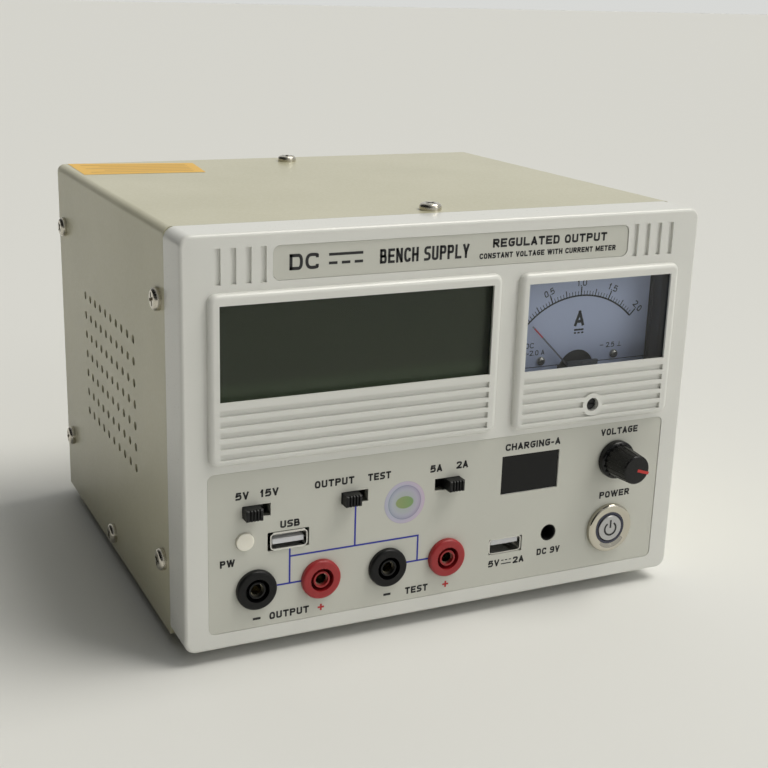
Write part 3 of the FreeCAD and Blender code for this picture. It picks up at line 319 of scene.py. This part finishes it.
def thick_line(points, thickness):
    """A band along a polyline. Its edges stand off each point by n t / (2 cos h), where n is the
    mean normal there and h is half the turn, and its ends reach on by t / 2."""
    steps = np.diff(points, axis=0)
    lengths = np.linalg.norm(steps, axis=1, keepdims=True)
    along = np.where(lengths > 0, steps / np.maximum(lengths, 1e-9), (1.0, 0.0))
    first, last = points[:1] - along[:1] * thickness / 2, points[-1:] + along[-1:] * thickness / 2
    points = np.concatenate([first, points[1:-1], last])
    before, after = np.concatenate([along[:1], along]), np.concatenate([along, along[-1:]])
    mean = before + after
    mean /= np.linalg.norm(mean, axis=1, keepdims=True)
    stand_off = thickness / 2 / np.sum(mean * before, axis=1, keepdims=True)
    offset = np.stack([-mean[:, 1], mean[:, 0]], 1) * stand_off
    count = len(points)
    faces = [(count + k, count + k + 1, k + 1, k) for k in range(count - 1)]
    return np.concatenate([points + offset, points - offset]), faces


def letters(words, cap, centre, width, weight=0.25, turn=0.0):
    """Plain block capitals in the plane of the panel. Each stroke is a polyline on the grid,
    smoothed by three rounds of corner cutting where it is marked ~, and thickened to weight times
    the cap height. The words fill a width and are turned about their centre, in millimetres."""
    thickness = cap * weight
    natural = [letter_widths.get(letter, usual_width) for letter in words]
    fit = width / (sum(natural) + letter_gap * (len(words) - 1))
    points, faces, left = [], [], -width / 2
    for letter, share in zip(words, natural):
        cell = share * fit - thickness
        for stroke in filter(None, strokes[letter].split("|")):
            places = [(int(pair[0]), int(pair[1])) for pair in stroke.strip("~").split()]
            path = np.array(places, float) / 8
            for _ in range(3 if stroke.startswith("~") else 0):
                cuts = [path[:-1] * 0.75 + path[1:] * 0.25, path[:-1] * 0.25 + path[1:] * 0.75]
                path = np.concatenate([path[:1], np.stack(cuts, 1).reshape(-1, 2), path[-1:]])
            path = path * (cell, cap - thickness) + (left + thickness / 2, (thickness - cap) / 2)
            band, quads = thick_line(path, thickness)
            first = sum(len(part) for part in points)
            points.append(band)
            faces += [tuple(first + k for k in quad) for quad in quads]
        left += (share + letter_gap) * fit
    c, s = math.cos(turn), math.sin(turn)
    return np.concatenate(points) @ np.array([[c, s], [-s, c]]) + np.array(centre), faces


def bar(x0, x1, z0, z1):
    """A filled rectangle in the plane of the panel."""
    return np.array([(x0, z0), (x1, z0), (x1, z1), (x0, z1)], float), [(0, 1, 2, 3)]


def ring_band(centre, inner, outer, start, end, steps=64):
    """A flat band between two radii and two angles, measured clockwise from straight up."""
    angles = np.radians(np.linspace(start, end, steps + 1))
    around = np.stack([np.sin(angles), np.cos(angles)], 1)
    points = np.concatenate([around * inner, around * outer]) + np.array(centre)
    first = np.arange(steps)
    faces = np.stack([first, first + steps + 1, first + steps + 2, first + 1], 1)
    return points, [tuple(face[::-1]) for face in faces.tolist()]


def disc(centre, radius, steps=64):
    """A filled circle in the plane of the panel, as a fan of triangles."""
    angles = np.linspace(0, 2 * math.pi, steps, endpoint=False)
    rim = np.stack([np.cos(angles), np.sin(angles)], 1) * radius
    points = np.concatenate([[[0.0, 0.0]], rim]) + np.array(centre)
    return points, [(0, 1 + k, 1 + (k + 1) % steps) for k in range(steps)]


def print_on(name, shapes, face_y, material, body="chassis", origin=None):
    """Joins flat shapes into one piece. Their millimetres are counted from the bezel's lower left
    corner, or from an origin, and they lie just in front of a face that looks towards -Y."""
    start = origin or (bezel_low.x, bezel_low.z)
    points, faces = [], []
    for shape_points, shape_faces in shapes:
        first = sum(len(part) for part in points)
        points.append(shape_points)
        faces += [tuple(first + k for k in face) for face in shape_faces]
    flat = np.concatenate(points) * MM + np.array(start)
    placed = np.stack([flat[:, 0], np.full(len(flat), face_y - ink_lift), flat[:, 1]], 1)
    piece = new_piece(name, placed.tolist(), faces, material)
    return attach(piece, body)


def ink(name, colour, roughness=0.45):
    """Screen-printed ink: an opaque colour that thins slightly at the scale of the screen's weave."""
    material, tree, output = new_material(name)
    place = add_node(tree, "TexCoord").outputs["Object"]
    screen = add_node(tree, "TexNoise", {"Vector": place, "Scale": 1 / 0.0004, "Detail": 1.0})
    base = srgb(colour)
    thin = (*[channel * 1.15 + 0.004 for channel in base[:3]], 1.0)
    colours = mix_colours(tree, screen.outputs["Fac"], base, thin)
    film = add_node(tree, "BsdfPrincipled", {"Base Color": colours, "Roughness": roughness})
    tree.links.new(film.outputs["BSDF"], output.inputs["Surface"])
    return material


black_ink = ink("black_screen_ink", "#17171A")
red_ink = ink("red_screen_ink", "#B3262A")
blue_ink = ink("blue_screen_ink", "#1F2A98")

# The words of each legend, its cap height, its centre and its width, in millimetres.
legends = [
    ("5V", 2.7, (20.1, 54.2), 4.6), ("15V", 2.7, (29.5, 54.2), 6.6),
    ("OUTPUT", 2.65, (53.0, 54.5), 14.5), ("TEST", 2.65, (69.7, 54.5), 8.7),
    ("5A", 2.7, (91.6, 54.4), 4.6), ("2A", 2.7, (101.9, 54.5), 4.6),
    ("USB", 2.6, (37.0, 42.1), 7.0), ("PW", 2.6, (14.9, 30.9), 5.2),
    ("CHARGING-A", 2.6, (130.7, 58.5), 23.0), ("VOLTAGE", 2.6, (168.0, 59.3), 16.3),
    ("POWER", 2.6, (168.1, 34.3), 13.4), ("DC 9V", 2.6, (140.3, 15.5), 10.0),
    ("5V", 2.6, (117.1, 14.0), 4.6), ("2A", 2.6, (127.5, 14.0), 4.6),
    ("OUTPUT", 2.65, (37.0, 9.2), 14.5), ("TEST", 2.65, (85.6, 9.4), 9.0)]
black_shapes = [letters(words, cap, centre, width) for words, cap, centre, width in legends]
black_shapes += [bar(23.8, 26.6, 8.6, 9.5), bar(72.6, 75.4, 8.9, 9.8), bar(120.2, 124.4, 13.1, 13.5)]
black_shapes += [bar(120.2 + 1.6 * k, 121.2 + 1.6 * k, 14.5, 14.9) for k in range(3)]
print_on("black_legends", black_shapes, overlay_face, black_ink)

red_shapes = []
arm, thick = 1.2, 0.35
for plus_x, plus_z in ((48.7, 9.1), (97.3, 9.3)):
    red_shapes.append(bar(plus_x - arm, plus_x + arm, plus_z - thick, plus_z + thick))
    red_shapes.append(bar(plus_x - thick, plus_x + thick, plus_z + thick, plus_z + arm))
    red_shapes.append(bar(plus_x - thick, plus_x + thick, plus_z - arm, plus_z - thick))
print_on("red_plus_signs", red_shapes, overlay_face, red_ink)

line = 0.32
switch_x, usb_x, test_x = 61.0, 37.0, 85.4
middle_z, output_z, test_z = 30.1, 20.2, 20.5
blue_shapes = [
    bar(switch_x - line, switch_x + line, middle_z + line, 44.7),
    bar(usb_x + line, test_x + line, middle_z - line, middle_z + line),
    bar(usb_x - line, usb_x + line, output_z + line, 33.2),
    bar(31.5, 41.7, output_z - line, output_z + line),
    bar(test_x - line, test_x + line, test_z + line, middle_z - line),
    bar(80.2, 90.3, test_z - line, test_z + line)]
print_on("blue_joining_lines", blue_shapes, overlay_face, blue_ink)

plate_shapes = [
    letters("DC", 5.2, (41.0, 130.7), 10.0, 0.2), bar(49.5, 61.5, 132.0, 132.9),
    letters("BENCH SUPPLY", 4.8, (84.0, 130.7), 33.0, 0.18),
    letters("REGULATED OUTPUT", 3.0, (132.5, 132.7), 46.0),
    letters("CONSTANT VOLTAGE WITH CURRENT METER", 1.9, (132.0, 128.5), 55.0)]
plate_shapes += [bar(49.5 + 4.5 * k, 52.5 + 4.5 * k, 129.2, 130.1) for k in range(3)]
print_on("plate_lettering", plate_shapes, plate_face, black_ink)


# ---- Yellow label on top -------------------------------------------------------------------------
# A yellow paper notice stuck near the rear left corner of the case, a little askew. Its face is
# satin paper, with five faint lines in place of small print.

def between(corners, s, t):
    """The bilinear mix of four corners, (1-s)(1-t) A + s(1-t) B + s t C + (1-s) t D."""
    a, b, c, d = (np.array(corner, float) for corner in corners)
    return (1 - s) * (1 - t) * a + s * (1 - t) * b + s * t * c + (1 - s) * t * d


def flat_sheet(name, corners, steps, height, material):
    """A four-cornered sheet that lies flat at one height: a grid of points between its corners."""
    s, t = np.meshgrid(np.linspace(0, 1, steps[0] + 1), np.linspace(0, 1, steps[1] + 1))
    flat = between(corners, s.reshape(-1, 1), t.reshape(-1, 1))
    points = np.column_stack([flat, np.full(len(flat), height)])
    row = steps[0] + 1
    faces = [(j * row + i, j * row + i + 1, (j + 1) * row + i + 1, (j + 1) * row + i)
             for j in range(steps[1]) for i in range(steps[0])]
    return new_piece(name, points.tolist(), faces, material)


def paper_print(name, colour, fleck):
    """Coated paper: an even colour with faint fibre clouds a few tenths of a millimetre across."""
    material, tree, output = new_material(name)
    place = add_node(tree, "TexCoord").outputs["Object"]
    fibre = add_node(tree, "TexNoise", {"Vector": place, "Scale": 1 / 0.0006, "Detail": 4.0})
    colours = mix_colours(tree, fibre.outputs["Fac"], srgb(colour), srgb(fleck))
    face = add_node(tree, "BsdfPrincipled", {"Base Color": colours, "Roughness": 0.42})
    tree.links.new(face.outputs["BSDF"], output.inputs["Surface"])
    return material


face_depth = 0.0002
front_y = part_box("control_overlay")[0].y - face_depth
paper_thickness = 0.00008
top_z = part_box("case_cover")[1].z + paper_thickness
label_corners = [(-0.0420, front_y + 0.163), (-0.0455, front_y + 0.134),
                 (-0.0941, front_y + 0.138), (-0.0932, front_y + 0.172)]
yellow_paper = paper_print("coated_yellow_paper", "#F0BC2C", "#E6B024")
yellow_label = flat_sheet("yellow_label", label_corners, (10, 8), top_z, yellow_paper)
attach(yellow_label, "chassis")

# Shares of the label: where the lines start, their pitch and width, and the margins at their ends.
first_line, line_pitch, line_share = 0.14, 0.16, 0.05
margin, shorter_by = 0.08, 0.13
label_ink = ink("faint_brown_label_ink", "#C99A2A")
for row in range(5):
    start = first_line + line_pitch * row
    end = start + line_share
    far = 1 - margin - shorter_by * (row % 2)
    edge = [between(label_corners, s, t)
            for s, t in ((start, margin), (end, margin), (end, far), (start, far))]
    label_line = flat_sheet(f"yellow_label_line_{row + 1}", edge, (1, 12), top_z + ink_lift, label_ink)
    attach(label_line, "chassis")


# ---- Round seal ----------------------------------------------------------------------------------
# A round foil seal on the control label. Embossed foil splits light, so its rings go from grey to lilac.
# A painted reflection makes them bluer towards its left, and a small oval in the middle is printed green.

seal_x, seal_z, seal_radius = 79.7, 43.4, 7.8
seal_centre = (bezel_low.x + seal_x * MM, overlay_face - ink_lift, bezel_low.z + seal_z * MM)


def seal_foil(name):
    """Embossed foil in rings, coloured by the distance from its centre: grey-lilac inside a thin
    dark ring at 6.2 mm, paler outside it. It is printed green where the root of x squared plus
    (1.5 z) squared is under 3.4 mm."""
    material, tree, output = new_material(name)
    place = add_node(tree, "TexCoord").outputs["Object"]
    from_centre = add_node(tree, "VectorMath", {"operation": "DISTANCE", 0: place, 1: seal_centre})
    rings = add_node(tree, "ValToRGB")
    span = add_node(tree, "MapRange", {
        "Value": from_centre.outputs["Value"], "From Min": 0.0, "From Max": 0.008})
    tree.links.new(span.outputs["Result"], rings.inputs["Fac"])
    stops = rings.color_ramp
    stops.elements[0].color = srgb("#B4B6B8")
    stops.elements[1].color = srgb("#B9ADC2")
    for where, colour in ((0.45, "#AEB2B8"), (0.62, "#B3AFC0"), (0.75, "#A6A0B6"), (0.775, "#8C86A4"),
                          (0.80, "#BCB6C8"), (0.92, "#C6B9CC")):
        stops.elements.new(where).color = srgb(colour)
    tall = add_node(tree, "VectorMath", {"operation": "MULTIPLY", 0: place, 1: (1, 1, 1.5)})
    middle = (seal_centre[0], seal_centre[1], seal_centre[2] * 1.5)
    from_middle = add_node(tree, "VectorMath", {
        "operation": "DISTANCE", 0: tall.outputs["Vector"], 1: middle})
    oval = add_node(tree, "MapRange", {
        "Value": from_middle.outputs["Value"], "From Min": 0.0032, "From Max": 0.0036,
        "To Min": 1.0, "To Max": 0.0})
    printed = mix_colours(tree, oval.outputs["Result"], rings.outputs["Color"], srgb("#7E9E6C"))
    # Painted reflection: the hue drifts from left to right across the seal, in place of the foil's split
    # light.
    across = add_node(tree, "SeparateXYZ", {"Vector": place}).outputs["X"]
    painted_reflection_hue = add_node(tree, "MapRange", {
        "Value": across, "From Min": seal_centre[0] - 0.007, "From Max": seal_centre[0] + 0.007,
        "To Min": 0.40, "To Max": 0.53})
    shifted = add_node(tree, "HueSaturation", {"Hue": painted_reflection_hue.outputs["Result"], "Color": printed})
    grooves = add_node(tree, "TexWave", {"wave_type": "RINGS", "Vector": place, "Scale": 900.0})
    bump = add_node(tree, "Bump", {
        "Height": grooves.outputs["Fac"], "Strength": 0.15, "Distance": 0.00002})
    foil = add_node(tree, "BsdfPrincipled", {
        "Base Color": shifted.outputs["Color"], "Metallic": 0.3, "Roughness": 0.32,
        "Normal": bump.outputs["Normal"]})
    tree.links.new(foil.outputs["BSDF"], output.inputs["Surface"])
    return material


foil_seal = disc((seal_x, seal_z), seal_radius)
print_on("round_seal", [foil_seal], overlay_face, seal_foil("rainbow_embossed_foil"))


# ---- Display -------------------------------------------------------------------------------------
# An unlit liquid-crystal panel behind a clear acrylic window. The polariser is a deep grey-green,
# with a paler band of painted light along its lower edge.

def clear_plastic(name, tint, ior, roughness=0.03):
    """Clear plastic whose light goes straight through, tinted, and whose front face mirrors the
    room by Fresnel's law. Faces seen from inside don't mirror, as if the pane were one surface."""
    material, tree, output = new_material(name)
    inside = add_node(tree, "NewGeometry").outputs["Backfacing"]
    bend = add_node(tree, "MapRange", {"Value": inside, "To Min": ior, "To Max": 1.0})
    mirror = add_node(tree, "Fresnel", {"IOR": bend.outputs["Result"]})
    through = add_node(tree, "BsdfTransparent", {"Color": srgb(tint)})
    shine = add_node(tree, "BsdfAnisotropic", {"Color": srgb("#FFFFFF"), "Roughness": roughness})
    both = add_node(tree, "MixShader", {
        0: mirror.outputs["Fac"], 1: through.outputs["BSDF"], 2: shine.outputs["BSDF"]})
    tree.links.new(both.outputs["Shader"], output.inputs["Surface"])
    return material


window_acrylic = clear_plastic("clear_acrylic_window", "#F2F4F0", 1.22)
dress(window_acrylic, "lcd_window")

window_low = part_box("lcd_window")[0].z
material, tree, output = new_material("grey_green_polariser")
place = add_node(tree, "TexCoord").outputs["Object"]
height = add_node(tree, "SeparateXYZ", {"Vector": place}).outputs["Z"]
# Painted light: the lowest 1.5 to 7.5 mm of the panel fade to a paler grey-green.
painted_light_band = add_node(tree, "MapRange", {
    "Value": height, "From Min": window_low + 0.0015, "From Max": window_low + 0.0075,
    "To Min": 1.0, "To Max": 0.0})
haze = add_node(tree, "TexNoise", {"Vector": place, "Scale": 1 / 0.03, "Detail": 2.0})
green = mix_colours(tree, haze.outputs["Fac"], srgb("#2E3226"), srgb("#272E26"))
banded = mix_colours(tree, painted_light_band.outputs["Result"], green, srgb("#434E3E"))
film = add_node(tree, "BsdfPrincipled", {"Base Color": banded, "Roughness": 0.35})
tree.links.new(film.outputs["BSDF"], output.inputs["Surface"])
dress(material, "lcd_panel")


# ---- Meter case ----------------------------------------------------------------------------------
# The panel meter has a clear moulded styrene front over a black base. The clear front carries the
# slotted zero screw of black plastic, sunk in a round hole of the bezel.

clear_styrene = clear_plastic("clear_styrene", "#F1F3F5", 1.42)
dress(clear_styrene, "meter_cover")

black_moulding = moulded_plastic("matte_black_moulding", "#1A1A1B", 0.5, 0.5, 0.01)
dress(black_moulding, "meter_base", "meter_zero_screw")


# ---- Meter dial ----------------------------------------------------------------------------------
# An aluminium dial plate with a pale enamel, held by two bright round-head screws. The scale is
# printed in black: forty divisions over a quarter turn, numbered to 2.0, with a large A.

dial_enamel = moulded_plastic("pale_blue_white_enamel", "#D3DAF4", 0.40, 0.5, 0.002, fleck=0.02)
dress(dial_enamel, "meter_dial")
dress(nickel, "meter_dial_screws")

joint_place = {joint["name"]: joint["pos_m"] for joint in frame["joints"] if "pos_m" in joint}
pivot = joint_place["pointer_swing"]
dial_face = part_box("meter_dial")[0].y

scale_radius, number_radius, sweep, divisions, drop = 31.0, 35.7, 45.0, 40, 0.6
fine_weight = 0.16
dial_shapes = [ring_band((0, -drop), scale_radius - 0.3, scale_radius + 0.3, -sweep, sweep, 90)]
for mark in range(divisions + 1):
    angle = math.radians(-sweep + 2 * sweep * mark / divisions)
    length, width = (3.3, 0.5) if mark % 10 == 0 else (2.6, 0.38) if mark % 5 == 0 else (1.7, 0.26)
    corners, faces = bar(-width / 2, width / 2, scale_radius, scale_radius + length)
    c, s = math.cos(angle), math.sin(angle)
    dial_shapes.append((corners @ np.array([[c, -s], [s, c]]) + (0, -drop), faces))
for number, figures in enumerate(("0", "0.5", "1.0", "1.5", "2.0")):
    angle = math.radians(-sweep + 2 * sweep * number / 4)
    middle = (number_radius * math.sin(angle), number_radius * math.cos(angle) - drop)
    dial_shapes.append(letters(figures, 2.4, middle, 4.2 if number else 1.6, fine_weight, -angle))
dial_shapes += [letters("A", 5.7, (0.0, 21.9), 4.3, 0.2), bar(-2.0, 2.1, 17.3, 18.0)]
dial_shapes += [bar(-2.0 + 1.55 * k, -1.0 + 1.55 * k, 16.2, 16.8) for k in range(3)]
dial_shapes += [letters("2.5", 1.9, (14.4, 10.8), 3.6, fine_weight), bar(9.8, 11.4, 10.7, 11.0)]
dial_shapes += [bar(17.5, 19.3, 9.9, 10.15), bar(18.25, 18.5, 10.15, 11.7)]
dial_shapes += [letters("DC", 1.9, (-20.6, 13.3), 3.6, fine_weight)]
dial_shapes += [letters("0-2.0 A", 1.9, (-18.6, 10.5), 9.0, fine_weight)]
print_on("dial_markings", dial_shapes, dial_face, black_ink, origin=(pivot[0], pivot[2]))


# ---- Meter works ---------------------------------------------------------------------------------
# The magnet's black cap and a grey bridge cover the pivot. The pointer is thin painted aluminium,
# grey, with a red stretch near its tip that is easy to read against the dial.

dress(black_moulding, "meter_movement")
dress(moulded_plastic("satin_grey_paint", "#55585C", 0.45, 0.3, 0.004), "meter_bridge")
dress(nickel, "meter_studs")

material, tree, output = new_material("painted_aluminium_pointer")
place = add_node(tree, "TexCoord").outputs["Object"]
hub_stand = 0.0005
arm_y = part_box("meter_pointer")[0].y + hub_stand
reach = add_node(tree, "VectorMath", {"operation": "DISTANCE", 0: place, 1: (pivot[0], arm_y, pivot[2])})
stripe = add_node(tree, "ValToRGB")
pointer_reach, red_start, red_end = 32.0, 23.5, 28.5
span = add_node(tree, "MapRange", {
    "Value": reach.outputs["Value"], "From Min": 0.0, "From Max": pointer_reach * MM})
tree.links.new(span.outputs["Result"], stripe.inputs["Fac"])
stripe.color_ramp.interpolation = "CONSTANT"
stripe.color_ramp.elements[0].color = srgb("#6C6A72")
stripe.color_ramp.elements[1].position = red_end / pointer_reach
stripe.color_ramp.elements[1].color = srgb("#8F8A92")
stripe.color_ramp.elements.new(red_start / pointer_reach).color = srgb("#D8202E")
paint = add_node(tree, "BsdfPrincipled", {"Base Color": stripe.outputs["Color"], "Roughness": 0.4})
tree.links.new(paint.outputs["BSDF"], output.inputs["Surface"])
dress(material, "meter_pointer")


# ---- Slide switches ------------------------------------------------------------------------------
# Three two-way slide switches stand behind the label, with stamped steel frames. Only the ribbed
# black sliders come out through the slots, matt with a slight mould grain.

slider_plastic = moulded_plastic("ribbed_black_plastic", "#0C0D0E", 0.42, 0.4, 0.008, ior=1.4)
dress(slider_plastic, "voltage_range_slider", "mode_slider", "current_range_slider")
stamped_steel = plated_metal("stamped_tin_plate", "#A8A89F", 0.3, 0.5)
dress(stamped_steel, "slide_switches")


# ---- USB sockets and power jack ------------------------------------------------------------------
# Two type-A shells folded from bright tin-plated steel, with white tongues inside, and a barrel
# jack moulded in black.

shell_tin = plated_metal("bright_tin_plate", "#D6D5D0", 0.16, 0.3)
dress(shell_tin, "usb_output_socket", "usb_charge_socket")
dress(moulded_plastic("white_moulding", "#DCDDE0", 0.4, 0.4, 0.006), "usb_tongues")
dress(black_moulding, "dc_jack")


# ---- Charging display and indicator --------------------------------------------------------------
# A small display under a smoked filter, almost black and slightly glossy, and a milky white round
# lens that spreads the light of the diode behind it.

smoked_filter = moulded_plastic("smoked_display_filter", "#050607", 0.12, 0.8, 0.001, ior=1.35)
dress(smoked_filter, "charging_display")

material, tree, output = new_material("milky_diffusing_lens")
place = add_node(tree, "TexCoord").outputs["Object"]
cloud = add_node(tree, "TexNoise", {"Vector": place, "Scale": 1 / 0.002, "Detail": 1.0})
milk = mix_colours(tree, cloud.outputs["Fac"], srgb("#F4F1E6"), srgb("#EFEBDD"))
lens = add_node(tree, "BsdfPrincipled", {
    "Base Color": milk, "Roughness": 0.35, "Subsurface Weight": 0.3,
    "Subsurface Scale": 0.001, "Subsurface Radius": (1.0, 0.95, 0.85)})
tree.links.new(lens.outputs["BSDF"], output.inputs["Surface"])
dress(material, "indicator_lens")


# ---- Banana sockets ------------------------------------------------------------------------------
# Insulated 4 mm sockets of nylon, two red and two black, each with a nickel-plated brass contact.
# Nylon from a polished mould is smooth with a soft, wide highlight.

black_nylon = moulded_plastic("glossy_black_nylon", "#0B0B0C", 0.34, 0.5, 0.003, fleck=0.0, ior=1.35)
red_nylon = moulded_plastic("glossy_red_nylon", "#9F2428", 0.34, 0.5, 0.005, fleck=0.08)
dress(black_nylon, "output_negative_socket", "test_negative_socket")
dress(red_nylon, "output_positive_socket", "test_positive_socket")
contact_plate = plated_metal("plated_brass_contact", "#C6BFA8", 0.2)
dress(contact_plate, "socket_contacts")


# ---- Voltage knob --------------------------------------------------------------------------------
# A glossy black knob with a wide skirt and a grooved grip, and a red pointer line let into its
# face. The potentiometer behind it is pressed steel with a turned brass shaft.

knob_gloss = moulded_plastic("glossy_black_knob", "#0B0B0C", 0.24, 0.5, 0.003, fleck=0.0, ior=1.4)
dress(knob_gloss, "voltage_knob")
dress(moulded_plastic("red_pointer_insert", "#C8302C", 0.35, 0.4, 0.003), "knob_pointer")
turned_brass = plated_metal("turned_brass", "#C9A55E", 0.28)
dress(stamped_steel, "potentiometer")
dress(turned_brass, "potentiometer_shaft")


# ---- Power button --------------------------------------------------------------------------------
# A latching push button with a chrome flange, a dark-blue ring that hides its lamp, and a satin
# silver cap that carries the power symbol.

mirror_chrome = plated_metal("mirror_chrome", "#C4BFB2", 0.07, 0.6)
dress(mirror_chrome, "power_button_body")
dress(moulded_plastic("dark_blue_ring", "#12163A", 0.18, 0.6, 0.002, coat=0.5), "power_button_ring")
satin_cap = plated_metal("satin_silver_cap", "#B9B9BA", 0.34, 0.2)
dress(satin_cap, "power_button_cap")

cap_low, cap_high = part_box("power_button_cap")
cap_middle = ((cap_low.x + cap_high.x) / 2, (cap_low.z + cap_high.z) / 2)
symbol = [ring_band((0, -0.2), 2.1, 2.85, 33, 327, 48), bar(-0.38, 0.38, 0.1, 3.3)]
print_on("power_symbol", symbol, cap_low.y, black_ink, "power_button", cap_middle)


# ---- Circuit boards ------------------------------------------------------------------------------
# Glass-epoxy boards under green solder mask. Copper tracks run below the mask, so they show as
# slightly paler straight bands.

material, tree, output = new_material("green_solder_mask")
place = add_node(tree, "TexCoord").outputs["Object"]
upright = add_node(tree, "Mapping", {"Vector": place, "Rotation": (math.pi / 2, 0.0, 0.0)})
tracks = add_node(tree, "TexBrick", {
    "Vector": upright.outputs["Vector"], "Scale": 1 / 0.012, "Mortar Size": 0.06,
    "Color1": srgb("#14532F"), "Color2": srgb("#175A34"), "Mortar": srgb("#2C7A4B")})
mask = add_node(tree, "BsdfPrincipled", {
    "Base Color": tracks.outputs["Color"], "Roughness": 0.3, "Coat Weight": 0.2})
tree.links.new(mask.outputs["BSDF"], output.inputs["Surface"])
dress(material, "display_board", "control_board", "charge_board", "main_board")


# ---- Transformer ---------------------------------------------------------------------------------
# A stack of varnished silicon-steel laminations round a bobbin wound in copper and wrapped with
# yellow polyester tape.

material, tree, output = new_material("varnished_laminations")
place = add_node(tree, "TexCoord").outputs["Object"]
layers = add_node(tree, "TexWave", {
    "bands_direction": "Y", "Vector": place, "Scale": 1 / 0.0063, "Distortion": 0.4, "Detail": 1.0})
steel = mix_colours(tree, layers.outputs["Fac"], srgb("#4A4238"), srgb("#6B6258"))
core = add_node(tree, "BsdfPrincipled", {"Base Color": steel, "Metallic": 0.6, "Roughness": 0.45})
tree.links.new(core.outputs["BSDF"], output.inputs["Surface"])
dress(material, "transformer_core")
yellow_tape = moulded_plastic("yellow_polyester_tape", "#C9A227", 0.35, 1.5, 0.02, coat=0.2)
dress(yellow_tape, "transformer_winding")


# ---- Power parts inside --------------------------------------------------------------------------
# An extruded aluminium heatsink carries the black power transistors, and tall capacitors in dark
# blue shrink sleeve stand on the main board.

extruded_aluminium = plated_metal("extruded_aluminium", "#B4B6B8", 0.38, 0.8)
dress(extruded_aluminium, "heatsink")
dress(black_moulding, "power_transistors")
dress(moulded_plastic("blue_shrink_sleeve", "#18203F", 0.3, 1.0, 0.004), "filter_capacitors")


# ---- Fan -----------------------------------------------------------------------------------------
# A square fan of matt black glass-filled plastic behind the slots of the rear panel. The frame
# stands still and the rotor turns in it.

fan_plastic = moulded_plastic("matte_black_fan_plastic", "#1E1E1F", 0.55, 0.4, 0.01)
dress(fan_plastic, "fan_frame", "fan_rotor")


# ---- Mains inlet and fuse ------------------------------------------------------------------------
# The rear inlet and the fuse holder are black moulded plastic. The inlet's pins are bare brass and
# the fuse inside its carrier is a glass tube.

dress(black_moulding, "mains_inlet", "fuse_holder", "fuse_cap")
dress(turned_brass, "inlet_pins")
dress(clear_plastic("fuse_glass_tube", "#E4ECEA", 1.5, 0.02), "fuse")
